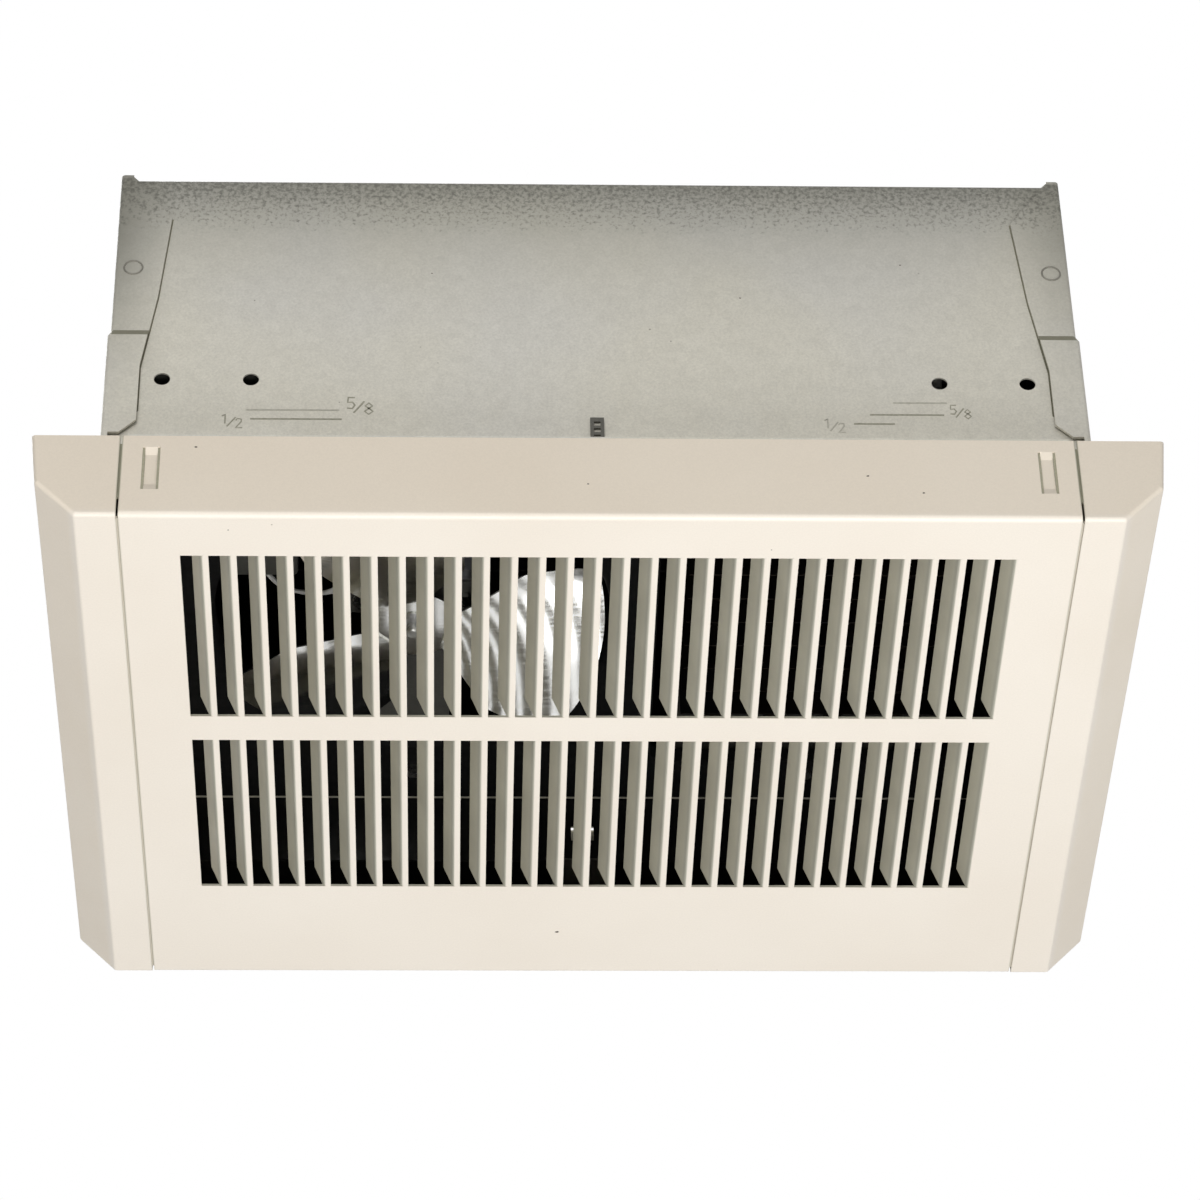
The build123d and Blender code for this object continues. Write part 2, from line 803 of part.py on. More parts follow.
# Fan: three wings twisted out of a flat disc, staked on a hub on the motor shaft
def wing_section(radius, pitch, camber):
    """Cambered strip across a wing that points along +X, its front edge lower."""
    turn = math.radians(pitch)
    plane = Plane(
        origin=(radius, 0, fan_z),
        x_dir=(0, math.cos(turn), -math.sin(turn)),
        z_dir=(1, 0, 0),
    )
    with BuildSketch(plane) as section:
        with BuildLine():
            under = ThreePointArc(
                (-wing_half_chord, -wing_sheet / 2),
                (0, -camber - wing_sheet / 2),
                (wing_half_chord, -wing_sheet / 2),
            )
            upper = ThreePointArc(
                (-wing_half_chord, wing_sheet / 2),
                (0, -camber + wing_sheet / 2),
                (wing_half_chord, wing_sheet / 2),
            )
            Line(under @ 0, upper @ 0)
            Line(under @ 1, upper @ 1)
        make_face()
    return section.sketch


def wing():
    """One wing along +X about the origin, cut to its rounded outline."""
    tip_x = math.sqrt(fan_radius**2 - wing_tip_half**2)
    with BuildPart() as blade:
        for share, pitch_share in wing_twist:
            radius = wing_root_inner + share * (fan_radius + wing_tip_corner - wing_root_inner)
            camber = wing_root_camber + pitch_share * wing_camber
            add(wing_section(radius, pitch_share * wing_pitch, camber))
        loft()
        with BuildSketch(Plane.XY.offset(fan_z)) as outline:
            with BuildLine():
                tip = ThreePointArc((tip_x, -wing_tip_half), (fan_radius, 0), (tip_x, wing_tip_half))
                Polyline(
                    tip @ 1,
                    (wing_shoulder_x, wing_shoulder_half),
                    (wing_root_x, wing_root_half),
                    (wing_root_x, -wing_root_half),
                    (wing_shoulder_x, -wing_shoulder_half),
                    tip @ 0,
                )
            make_face()
            fillet(outline.vertices().group_by(Axis.X)[1], radius=wing_shoulder_corner)
            fillet(outline.vertices().group_by(Axis.X)[-1], radius=wing_tip_corner)
        extrude(amount=wing_half_chord, both=True, mode=Mode.INTERSECT)
    return blade.part


with BuildPart() as fan_blade:
    with BuildSketch(Plane.XY.offset(disc_low_z)):
        with Locations((fan_x, 0)):
            Circle(fan_disc_radius)
    extrude(amount=wing_sheet)
    one_wing = wing()
    with Locations((fan_x, 0)):
        with PolarLocations(0, wing_count, start_angle=wing_first_angle):
            add(one_wing)
    with BuildSketch(Plane.XY.offset(disc_low_z)):
        with Locations((fan_x, 0)):
            Circle(hub_spigot_radius)
    extrude(amount=wing_sheet, mode=Mode.SUBTRACT)
fan_blade.part.label = "fan_blade"
export_step(fan_blade.part, "parts/fan_blade.step")

with BuildPart() as fan_hub:
    with BuildSketch(fan_section):
        with BuildLine():
            Polyline(
                (shaft_radius, disc_low_z - hub_spigot),
                (hub_spigot_radius, disc_low_z - hub_spigot),
                (hub_spigot_radius, disc_high_z),
                (hub_flange_radius, disc_high_z),
                (hub_flange_radius, disc_high_z + hub_flange),
                (hub_radius, disc_high_z + hub_flange),
                (hub_radius, hub_top_z),
                (shaft_radius, hub_top_z),
                close=True,
            )
        make_face()
    revolve(axis=fan_axis)
fan_hub.part.label = "fan_hub"
export_step(fan_hub.part, "parts/fan_hub.step")

with BuildPart() as motor_shaft:
    with BuildSketch(Plane.XY.offset(shaft_low_z)):
        with Locations((fan_x, 0)):
            Circle(shaft_radius)
    extrude(amount=shaft_high_z - shaft_low_z)
    chamfer(motor_shaft.edges().filter_by(GeomType.CIRCLE), length=shaft_chamfer)
motor_shaft.part.label = "motor_shaft"
export_step(motor_shaft.part, "parts/motor_shaft.step")

with BuildPart() as rotor:
    core_low_z = stack_z - rotor_overhang
    core_high_z = stack_top_z + rotor_overhang
    thrust_low_z = lower_arm_z + arm_height + boss_inner + thrust_gap
    thrust_high_z = upper_arm_z - boss_inner - thrust_gap
    with BuildSketch(fan_section):
        with BuildLine():
            Polyline(
                (shaft_radius, thrust_low_z),
                (thrust_radius, thrust_low_z),
                (thrust_radius, core_low_z - rotor_ring),
                (rotor_ring_radius, core_low_z - rotor_ring),
                (rotor_ring_radius, core_low_z),
                (rotor_bore - air_gap, core_low_z),
                (rotor_bore - air_gap, core_high_z),
                (rotor_ring_radius, core_high_z),
                (rotor_ring_radius, core_high_z + rotor_ring),
                (thrust_radius, core_high_z + rotor_ring),
                (thrust_radius, thrust_high_z),
                (shaft_radius, thrust_high_z),
                close=True,
            )
        make_face()
    revolve(axis=fan_axis)
rotor.part.label = "rotor"
export_step(rotor.part, "parts/rotor.step")


# Motor: shaded pole stack on a strap over the fan opening, a coil on its front limb
with BuildPart() as motor_bridge:
    with BuildSketch(Plane.YZ.offset(fan_x)) as strap_profile:
        with BuildLine() as strap_line:
            FilletPolyline(
                (-bridge_reach - bridge_foot, deck_top_z + bridge_sheet / 2),
                (-bridge_reach, deck_top_z + bridge_sheet / 2),
                (-bridge_reach + bridge_slope, bridge_z + bridge_sheet / 2),
                (bridge_reach - bridge_slope, bridge_z + bridge_sheet / 2),
                (bridge_reach, deck_top_z + bridge_sheet / 2),
                (bridge_reach + bridge_foot, deck_top_z + bridge_sheet / 2),
                radius=bridge_bend,
            )
            offset(amount=bridge_sheet / 2, side=Side.BOTH)
        make_face()
    extrude(amount=bridge_half_width, both=True)
    with BuildSketch(Plane.XY.offset(bridge_z)):
        with Locations((fan_x, 0)):
            RectangleRounded(2 * arm_half_length, 2 * bridge_pad_half_width, bridge_bend)
    extrude(amount=bridge_sheet)
    with BuildSketch(Plane.XY.offset(deck_top_z)):
        with Locations((fan_x, 0)):
            Circle(bridge_boss_hole)
        with Locations(*motor_screw_places):
            Circle(motor_screw_radius)
        with Locations(*bridge_screw_places):
            Circle(sheet_screw_radius)
    extrude(amount=lower_arm_z - deck_top_z, mode=Mode.SUBTRACT)
motor_bridge.part.label = "motor_bridge"
export_step(motor_bridge.part, "parts/motor_bridge.step")

with BuildPart() as bridge_screws:
    add(screws(
        Plane.XY.offset(deck_z),
        bridge_screw_places,
        sheet_screw_radius,
        screw_across,
        screw_head,
        deck_sheet + bridge_sheet + screw_end,
    ))
bridge_screws.part.label = "bridge_screws"
export_step(bridge_screws.part, "parts/bridge_screws.step")


def bearing_bridge(arm_z, post_z, post, boss_low_z, boss_high_z):
    """Die-cast bar across the stack with two posts and a boss for the shaft bush."""
    with BuildPart() as bridge:
        with BuildSketch(Plane.XY.offset(arm_z)):
            with Locations((fan_x, 0)):
                SlotOverall(2 * arm_half_length, 2 * arm_half_width)
        extrude(amount=arm_height)
        with BuildSketch(Plane.XY.offset(post_z)):
            with Locations(*motor_screw_places):
                Circle(post_radius)
        extrude(amount=post)
        with BuildSketch(Plane.XY.offset(boss_low_z)):
            with Locations((fan_x, 0)):
                Circle(boss_radius)
        extrude(amount=boss_high_z - boss_low_z)
        with BuildSketch(Plane.XY.offset(lower_boss_z)):
            with Locations((fan_x, 0)):
                Circle(bush_radius)
            with Locations(*motor_screw_places):
                Circle(motor_screw_radius)
        extrude(amount=upper_boss_z - lower_boss_z, mode=Mode.SUBTRACT)
    return bridge.part


lower_boss_top_z = lower_arm_z + arm_height + boss_inner
upper_boss_foot_z = upper_arm_z - boss_inner

with BuildPart() as bearing_bridge_lower:
    add(bearing_bridge(
        lower_arm_z,
        lower_arm_z + arm_height,
        lower_post,
        lower_boss_z,
        lower_boss_top_z,
    ))
bearing_bridge_lower.part.label = "bearing_bridge_lower"
export_step(bearing_bridge_lower.part, "parts/bearing_bridge_lower.step")

with BuildPart() as bearing_bridge_upper:
    add(bearing_bridge(upper_arm_z, stack_top_z, upper_post, upper_boss_foot_z, upper_boss_z))
bearing_bridge_upper.part.label = "bearing_bridge_upper"
export_step(bearing_bridge_upper.part, "parts/bearing_bridge_upper.step")

with BuildPart() as shaft_bushes:
    for bush_low_z, bush_high_z in (
        (lower_boss_z, lower_boss_top_z),
        (upper_boss_foot_z, upper_boss_z),
    ):
        with BuildSketch(Plane.XY.offset(bush_low_z)):
            with Locations((fan_x, 0)):
                Circle(bush_radius)
                Circle(shaft_radius + bush_clearance, mode=Mode.SUBTRACT)
        extrude(amount=bush_high_z - bush_low_z)
shaft_bushes.part.label = "shaft_bushes"
export_step(shaft_bushes.part, "parts/shaft_bushes.step")

shading_half_turn = math.radians((shading_high_angle - shading_low_angle) / 2)
shading_half_width = shading_radius * math.sin(shading_half_turn)

with BuildPart() as shading_rings:
    for shading_turn in (0, 180):
        middle_turn = math.radians((shading_low_angle + shading_high_angle) / 2 + shading_turn)
        outward = (math.cos(middle_turn), math.sin(middle_turn), 0)
        middle_radius = shading_radius * math.cos(shading_half_turn)
        ring_plane = Plane(
            origin=(
                fan_x + middle_radius * outward[0],
                middle_radius * outward[1],
                stack_z + stack_height / 2,
            ),
            x_dir=(-outward[1], outward[0], 0),
            z_dir=outward,
        )
        with BuildSketch(ring_plane):
            Rectangle(2 * shading_half_width + shading_wire, stack_height + 2 * shading_wire)
            Rectangle(2 * shading_half_width - shading_wire, stack_height, mode=Mode.SUBTRACT)
        extrude(amount=shading_wire / 2, both=True)
shading_rings.part.label = "shading_rings"
export_step(shading_rings.part, "parts/shading_rings.step")

with BuildPart() as stator_stack:
    window_middle_y = -stack_front + coil_limb + coil_window_depth / 2
    with BuildSketch(Plane.XY.offset(stack_z)):
        with Locations((fan_x, (stack_rear - stack_front) / 2)):
            RectangleRounded(2 * stack_half_width, stack_front + stack_rear, stack_corner)
        with Locations((fan_x, window_middle_y)):
            Rectangle(2 * coil_window_half, coil_window_depth, mode=Mode.SUBTRACT)
        with Locations((fan_x, 0)):
            Circle(rotor_bore, mode=Mode.SUBTRACT)
        with Locations(*motor_screw_places):
            Circle(motor_screw_radius, mode=Mode.SUBTRACT)
    extrude(amount=stack_height)
    add(shading_rings.part, mode=Mode.SUBTRACT)
stator_stack.part.label = "stator_stack"
export_step(stator_stack.part, "parts/stator_stack.step")

limb_plane = Plane(
    origin=(fan_x, -stack_front + coil_limb / 2, stack_z + stack_height / 2),
    x_dir=(0, 1, 0),
    z_dir=(1, 0, 0),
)

with BuildPart() as coil_bobbin:
    with BuildSketch(limb_plane):
        Rectangle(coil_limb + 2 * bobbin_wall, stack_height + 2 * bobbin_wall)
        Rectangle(coil_limb, stack_height, mode=Mode.SUBTRACT)
    extrude(amount=coil_half_width, both=True)
    for bobbin_end in (-coil_half_width, coil_half_width - bobbin_flange):
        with BuildSketch(limb_plane.offset(bobbin_end)):
            RectangleRounded(
                coil_limb + 2 * (coil_wall + bobbin_lip),
                stack_height + 2 * (coil_wall + bobbin_lip),
                coil_corner,
            )
            Rectangle(coil_limb, stack_height, mode=Mode.SUBTRACT)
        extrude(amount=bobbin_flange)
coil_bobbin.part.label = "coil_bobbin"
export_step(coil_bobbin.part, "parts/coil_bobbin.step")

with BuildPart() as stator_coil:
    with BuildSketch(limb_plane):
        RectangleRounded(coil_limb + 2 * coil_wall, stack_height + 2 * coil_wall, coil_corner)
        Rectangle(
            coil_limb + 2 * bobbin_wall,
            stack_height + 2 * bobbin_wall,
            mode=Mode.SUBTRACT,
        )
    extrude(amount=coil_half_width - bobbin_flange, both=True)
stator_coil.part.label = "stator_coil"
export_step(stator_coil.part, "parts/stator_coil.step")

with BuildPart() as motor_screws:
    add(screws(
        Plane.XY.offset(bridge_z),
        motor_screw_places,
        motor_screw_radius,
        motor_nut_across,
        screw_head,
        motor_top_z + motor_nut + motor_thread_end - bridge_z,
    ))
motor_screws.part.label = "motor_screws"
export_step(motor_screws.part, "parts/motor_screws.step")

with BuildPart() as motor_nuts:
    with BuildSketch(Plane.XY.offset(motor_top_z)):
        with Locations(*motor_screw_places):
            RegularPolygon(motor_nut_across / 2, 6, major_radius=False)
            Circle(motor_screw_radius, mode=Mode.SUBTRACT)
    extrude(amount=motor_nut)
motor_nuts.part.label = "motor_nuts"
export_step(motor_nuts.part, "parts/motor_nuts.step")


# Heating element: one sheathed tube bent to four legs, with plate fins pressed over it
with BuildPart() as heating_element:
    leg_x = [place[0] for place in leg_places]
    with BuildLine() as sheath_path:
        Line((leg_x[0], sheath_front_y, element_z), (leg_x[0], element_straight, element_z))
        for leg in range(1, element_legs):
            turn_y = element_straight if leg % 2 else -element_straight
            turn_bulge = turn_y + math.copysign(element_leg_pitch / 2, turn_y)
            last_leg = leg == element_legs - 1
            ThreePointArc(
                (leg_x[leg - 1], turn_y, element_z),
                (leg_x[leg] - element_leg_pitch / 2, turn_bulge, element_z),
                (leg_x[leg], turn_y, element_z),
            )
            Line(
                (leg_x[leg], turn_y, element_z),
                (leg_x[leg], sheath_front_y if last_leg else -turn_y, element_z),
            )
    with BuildSketch(Plane.XZ.offset(-sheath_front_y)):
        with Locations(leg_places[0]):
            Circle(sheath_radius)
    sweep(path=sheath_path.line)
heating_element.part.label = "heating_element"
export_step(heating_element.part, "parts/heating_element.step")

with BuildPart() as element_fins:
    for fin in range(fin_count):
        fin_y = (fin - (fin_count - 1) / 2) * fin_pitch
        with BuildSketch(Plane.XZ.offset(-fin_y)):
            with Locations((element_middle_x, element_z)):
                Rectangle(fin_width, fin_height)
            with Locations(*leg_places):
                Circle(sheath_radius, mode=Mode.SUBTRACT)
        extrude(amount=fin_thickness / 2, both=True)
element_fins.part.label = "element_fins"
export_step(element_fins.part, "parts/element_fins.step")

terminal_places = (leg_places[0], leg_places[-1])

with BuildPart() as element_terminals:
    with BuildSketch(Plane.XZ.offset(-sheath_front_y)):
        with Locations(*terminal_places):
            Circle(terminal_cup_radius)
    extrude(amount=terminal_cup)
    with BuildSketch(Plane.XZ.offset(-sheath_front_y)):
        with Locations(*terminal_places):
            Circle(terminal_pin_radius)
    extrude(amount=terminal_pin)
    with BuildSketch(Plane.XZ.offset(-sheath_front_y + terminal_pin)):
        with Locations(*[(x, z + terminal_tab_rise / 2) for x, z in terminal_places]):
            Rectangle(tab_width, terminal_tab_rise + 2 * terminal_pin_radius)
    extrude(amount=-tab_sheet)
element_terminals.part.label = "element_terminals"
export_step(element_terminals.part, "parts/element_terminals.step")


def element_bracket():
    """Rear bracket: a plate that the legs pass through, with a foot turned outwards."""
    with BuildPart() as bracket:
        with BuildSketch(Plane.XZ.offset(-bracket_y)) as plate:
            with Locations((element_middle_x, (deck_top_z + bracket_top_z) / 2)):
                Rectangle(2 * bracket_half_width, bracket_top_z - deck_top_z)
            fillet(plate.vertices().group_by(Axis.Y)[-1], radius=bracket_corner)
            with Locations(*leg_places):
                Circle(sheath_radius, mode=Mode.SUBTRACT)
        extrude(amount=-bracket_sheet)
        with BuildSketch(Plane.XY.offset(deck_top_z)):
            with Locations((element_middle_x, bracket_y + (bracket_sheet + bracket_foot) / 2)):
                Rectangle(2 * bracket_half_width, bracket_sheet + bracket_foot)
            with Locations(*element_screw_places):
                Circle(small_screw_radius, mode=Mode.SUBTRACT)
        extrude(amount=bracket_sheet)
    return bracket.part


with BuildPart() as element_bracket_rear:
    add(element_bracket())
element_bracket_rear.part.label = "element_bracket_rear"
export_step(element_bracket_rear.part, "parts/element_bracket_rear.step")

with BuildPart() as element_bracket_front:
    add(element_bracket().mirror(Plane.XZ))
element_bracket_front.part.label = "element_bracket_front"
export_step(element_bracket_front.part, "parts/element_bracket_front.step")

with BuildPart() as element_screws:
    add(screws(
        Plane.XY.offset(deck_z),
        element_screw_places,
        small_screw_radius,
        small_across,
        small_head,
        deck_sheet + bracket_sheet + small_end,
    ))
element_screws.part.label = "element_screws"
export_step(element_screws.part, "parts/element_screws.step")


# Thermal cut-out: a disc on the deck beside the outlet
with BuildPart() as thermal_cutout:
    with BuildSketch(Plane.XY.offset(deck_top_z)):
        with Locations((cutout_x, cutout_y)):
            Circle(cutout_radius)
            SlotOverall(2 * (cutout_ear_y + cutout_ear_radius), 2 * cutout_ear_radius, rotation=90)
        with Locations(*cutout_screw_places):
            Circle(small_screw_radius, mode=Mode.SUBTRACT)
    extrude(amount=cutout_flange)
    with BuildSketch(Plane.XY.offset(deck_top_z)):
        with Locations((cutout_x, cutout_y)):
            Circle(cutout_radius)
    extrude(amount=cutout_cup)
    with BuildSketch(Plane.XY.offset(deck_top_z)):
        with Locations((cutout_x, cutout_y)):
            Circle(cutout_body_radius)
    extrude(amount=cutout_height)
    with BuildSketch(Plane.XY.offset(deck_top_z + cutout_height)):
        with Locations(
            (cutout_x - cutout_tab_spread, cutout_y),
            (cutout_x + cutout_tab_spread, cutout_y),
        ):
            Rectangle(tab_sheet, tab_width)
    extrude(amount=cutout_tab_rise)
thermal_cutout.part.label = "thermal_cutout"
export_step(thermal_cutout.part, "parts/thermal_cutout.step")

with BuildPart() as cutout_screws:
    add(screws(
        Plane.XY.offset(deck_z),
        cutout_screw_places,
        small_screw_radius,
        small_across,
        small_head,
        deck_sheet + cutout_flange + small_end,
    ))
cutout_screws.part.label = "cutout_screws"
export_step(cutout_screws.part, "parts/cutout_screws.step")


# Wiring cover: closes the compartment at the front left, from the wall to the box top
with BuildPart() as wiring_cover:
    with BuildSketch(Plane.XY.offset(cover_low_z)) as cover_plan:
        with Locations(
            ((cover_left_x + cover_right_x) / 2, (cover_front_y + cover_rear_y) / 2),
        ):
            Rectangle(cover_right_x - cover_left_x, cover_rear_y - cover_front_y)
    extrude(amount=wrap_inner_z - cover_low_z)
    fillet(
        wiring_cover.edges().filter_by(Axis.Z).sort_by(Axis.X)[-2:].sort_by(Axis.Y)[-1:]
        + wiring_cover.edges().group_by(Axis.Z)[0].filter_by(Axis.Y).sort_by(Axis.X)[-1:]
        + wiring_cover.edges().group_by(Axis.Z)[0].filter_by(Axis.X).sort_by(Axis.Y)[-1:],
        radius=cover_bend,
    )
    offset(
        amount=-cover_sheet,
        openings=[
            wiring_cover.faces().sort_by(Axis.Z)[-1],
            wiring_cover.faces().sort_by(Axis.X)[0],
            wiring_cover.faces().sort_by(Axis.Y)[0],
        ],
    )
    with BuildSketch(Plane.XY.offset(wrap_inner_z)):
        with Locations((cover_screw_x, (cover_front_y + cover_rear_y) / 2)):
            Rectangle(cover_flange, cover_rear_y - cover_front_y - 2 * cover_flange)
    extrude(amount=-cover_sheet)
    with BuildSketch(Plane.XY.offset(wrap_inner_z)):
        with Locations(*cover_screw_places):
            Circle(sheet_screw_radius)
    extrude(amount=-cover_sheet, mode=Mode.SUBTRACT)
    with BuildSketch(Plane.XZ.offset(-cover_rear_y)):
        with Locations((bushing_rear_x, bushing_z)):
            Circle(bushing_radius)
    extrude(amount=cover_sheet, mode=Mode.SUBTRACT)
    with BuildSketch(Plane.YZ.offset(cover_right_x)):
        with Locations((bushing_wall_y, bushing_z)):
            Circle(bushing_radius)
    extrude(amount=-cover_sheet, mode=Mode.SUBTRACT)
wiring_cover.part.label = "wiring_cover"
export_step(wiring_cover.part, "parts/wiring_cover.step")

with BuildPart() as cover_screws:
    add(screws(
        Plane.XY.offset(wrap_inner_z - cover_sheet),
        cover_screw_places,
        sheet_screw_radius,
        screw_across,
        screw_head,
        cover_sheet + box_sheet,
    ))
cover_screws.part.label = "cover_screws"
export_step(cover_screws.part, "parts/cover_screws.step")

with BuildPart() as lead_bushings:
    rear_plane = Plane(
        origin=(bushing_rear_x, cover_rear_y - cover_sheet, bushing_z),
        z_dir=(0, -1, 0),
    )
    wall_plane = Plane(
        origin=(cover_right_x - cover_sheet, bushing_wall_y, bushing_z),
        z_dir=(-1, 0, 0),
    )
    for bushing_plane in (rear_plane, wall_plane):
        with BuildSketch(bushing_plane):
            Circle(bushing_flange)
        extrude(amount=bushing_cap)
        with BuildSketch(bushing_plane):
            Circle(bushing_radius)
        extrude(amount=-cover_sheet - bushing_cap)
        with BuildSketch(bushing_plane.offset(bushing_cap)):
            Circle(bushing_bore)
        extrude(amount=-cover_sheet - 2 * bushing_cap, mode=Mode.SUBTRACT)
lead_bushings.part.label = "lead_bushings"
export_step(lead_bushings.part, "parts/lead_bushings.step")

with BuildPart() as ground_screw:
    add(screws(
        Plane.XY.offset(wrap_inner_z),
        [(ground_screw_x, ground_screw_y)],
        sheet_screw_radius,
        screw_across,
        screw_head,
        box_sheet,
    ))
    with BuildSketch(Plane.XY.offset(wrap_inner_z)):
        with Locations((ground_screw_x, ground_screw_y)):
            Circle(ground_screw_washer)
    extrude(amount=-ground_screw_washer_height)
ground_screw.part.label = "ground_screw"
export_step(ground_screw.part, "parts/ground_screw.step")


# Leads: straight runs joined by tangent arcs as large as the runs allow
def lead(name, points, radius):
    """Six-sided lead along the route, with its radii, its length and its volume printed."""
    corners = [Vector(*point) for point in points]
    runs = [end - start for start, end in zip(corners, corners[1:])]
    radii = [
        corner_share * min(run.length, after.length) / math.tan(math.radians(run.get_angle(after) / 2))
        for run, after in zip(runs, runs[1:])
    ]
    side_turn = 2 * math.pi / lead_sides
    reach = radius * math.sqrt(side_turn / math.sin(side_turn))
    with BuildPart() as tube:
        with BuildLine():
            route = FilletPolyline(*corners, radius=radii)
        with BuildSketch(Plane(origin=route @ 0, z_dir=route % 0)):
            RegularPolygon(reach, lead_sides)
        sweep(path=route)
    straight_volume = math.pi * radius**2 * route.length
    print(name, "radii", [round(value, 1) for value in radii])
    print(name, "length", round(route.length, 1), "volume", tube.part.volume / straight_volume)
    return tube.part


coil_rear_y = -stack_front + coil_limb + coil_wall

with BuildPart() as motor_leads:
    add(lead(
        "motor lead 1",
        [
            (bushing_rear_x - lead_sag, -12.4, bushing_z - motor_lead_spread + lead_sag),
            (bushing_rear_x, -2, bushing_z - motor_lead_spread),
            (bushing_rear_x, 8, bushing_z - motor_lead_spread - lead_sag),
            (-118, 12, 93),
            (-110.5, 8.8, 87.8),
            (-102, 4.2, 83.2),
            (-96.8, -0.9, 81.3),
            (-92.6, -5.4, 80.9),
            (-87.2, -9, 81),
            (-79.5, -12.4, 82.2),
            (-74, -17.2, 83.6),
            (-71, coil_rear_y, 84.2),
        ],
        motor_lead_radius,
    ))
    add(lead(
        "motor lead 2",
        [
            (bushing_rear_x - lead_sag, -12.4, bushing_z + motor_lead_spread + lead_sag),
            (bushing_rear_x, -2, bushing_z + motor_lead_spread),
            (bushing_rear_x, 9, bushing_z + motor_lead_spread - lead_sag),
            (-118, 14.2, 95),
            (-110.5, 11.6, 90.2),
            (-102.4, 8.4, 87),
            (-96.4, 6, 86),
            (-91, 6.6, 85.6),
            (-87.8, 11.2, 85.4),
            (-83.6, 15, 85.1),
            (-77, 15, 84.8),
            (-68.6, 16.2, 84.5),
            (-61, 14.4, 84.4),
            (-56.6, 7.8, 84.3),
            (-57.6, -0.8, 84.3),
            (-60.6, -9.8, 84.3),
            (-63.4, -17.2, 84.3),
            (-63.2, coil_rear_y, 84.3),
        ],
        motor_lead_radius,
    ))
motor_leads.part.label = "motor_leads"
export_step(motor_leads.part, "parts/motor_leads.step")

tab_top_z = deck_top_z + cutout_height + cutout_tab_rise
terminal_tab_y = sheath_front_y - terminal_pin + tab_sheet / 2
terminal_tab_z = element_z + terminal_tab_rise + terminal_pin_radius

with BuildPart() as element_leads:
    add(lead(
        "cut-out lead",
        [
            (cover_right_x - lead_tail, bushing_wall_y + element_lead_spread, bushing_z),
            (cover_right_x + lead_exit, bushing_wall_y + element_lead_spread, bushing_z),
            (-66, -94, 96),
            (-36, -97, 95),
            (-13, -92.5, 96.5),
            (1.5, -79, 98.4),
            (6.8, -70.4, 97.9),
            (cutout_x - cutout_tab_spread, cutout_y, 92.4),
            (cutout_x - cutout_tab_spread, cutout_y, tab_top_z),
        ],
        element_lead_radius,
    ))
    add(lead(
        "link lead",
        [
            (cutout_x + cutout_tab_spread, cutout_y, tab_top_z),
            (cutout_x + cutout_tab_spread, cutout_y, 95),
            (18.4, -72, 106),
            (24, -84, 114),
            (34, -96, 118),
            (46, -103.5, 118),
            (element_first_x, terminal_tab_y, 112),
            (element_first_x, terminal_tab_y, terminal_tab_z),
        ],
        element_lead_radius,
    ))
    add(lead(
        "return lead",
        [
            (cover_right_x - lead_tail, bushing_wall_y - element_lead_spread, bushing_z),
            (cover_right_x + lead_exit, bushing_wall_y - element_lead_spread, bushing_z),
            (-62, -100, 101),
            (-20, -104, 108),
            (20, -103, 118),
            (60, -103.5, 126),
            (96, -104.5, 127),
            (116, -104.8, 122),
            (element_last_x, terminal_tab_y, 112),
            (element_last_x, terminal_tab_y, terminal_tab_z),
        ],
        element_lead_radius,
    ))
element_leads.part.label = "element_leads"
export_step(element_leads.part, "parts/element_leads.step")
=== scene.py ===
"""Looks of the recessed ceiling heater: finishes, markings, light and camera, in metres.

The origin is the middle of the grille's underside, +Z points up into the ceiling, and -Y is
the side with the near louvre row.
"""

import json
import math
import random

import bmesh
import bpy
from mathutils import Matrix, Vector


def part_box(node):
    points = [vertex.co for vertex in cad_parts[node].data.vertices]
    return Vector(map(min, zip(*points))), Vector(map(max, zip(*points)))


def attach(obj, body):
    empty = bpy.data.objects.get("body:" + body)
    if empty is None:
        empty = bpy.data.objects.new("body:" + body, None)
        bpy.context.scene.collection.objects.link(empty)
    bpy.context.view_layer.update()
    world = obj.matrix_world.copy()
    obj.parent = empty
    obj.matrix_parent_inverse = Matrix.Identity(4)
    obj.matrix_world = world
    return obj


MM = 0.001

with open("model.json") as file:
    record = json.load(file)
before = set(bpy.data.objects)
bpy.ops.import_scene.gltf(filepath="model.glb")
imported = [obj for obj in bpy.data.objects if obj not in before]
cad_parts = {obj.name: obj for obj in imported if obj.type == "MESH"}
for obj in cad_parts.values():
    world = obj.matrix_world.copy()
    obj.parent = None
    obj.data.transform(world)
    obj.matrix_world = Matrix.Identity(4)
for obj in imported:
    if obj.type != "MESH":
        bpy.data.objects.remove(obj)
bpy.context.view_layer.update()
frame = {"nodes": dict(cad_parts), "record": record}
nodes = frame["nodes"]

# Places that the finishes follow
box_low, box_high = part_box("box_wrap")
panel_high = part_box("grille_panel")[1]
deck_low, deck_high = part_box("heater_deck")
sheet = 1.0 * MM
deck_fit = 0.2 * MM
wall_y = deck_high.y + deck_fit + sheet
side_x = box_high.x + sheet
lap_y = wall_y + sheet
joggle_low_z = 106.0 * MM
joggle_high_z = 109.0 * MM

# Grille: the seam at each end cap, the louvre rows and the stitches
seam_gap = 0.8 * MM
seam_shade_reach = 12.0 * MM
louvres_half_width = 148.5 * MM
louvres_front_y = -114.7 * MM
louvres_rear_y = 79.8 * MM
louvre_height = 8.8 * MM
stitch_x = 157.6 * MM
stitch_strap_half = 2.2 * MM
stitch_paint_half = 2.8 * MM
stitch_window_half = 3.1 * MM
stitch_low_z = 11.8 * MM
stitch_high_z = 31.9 * MM


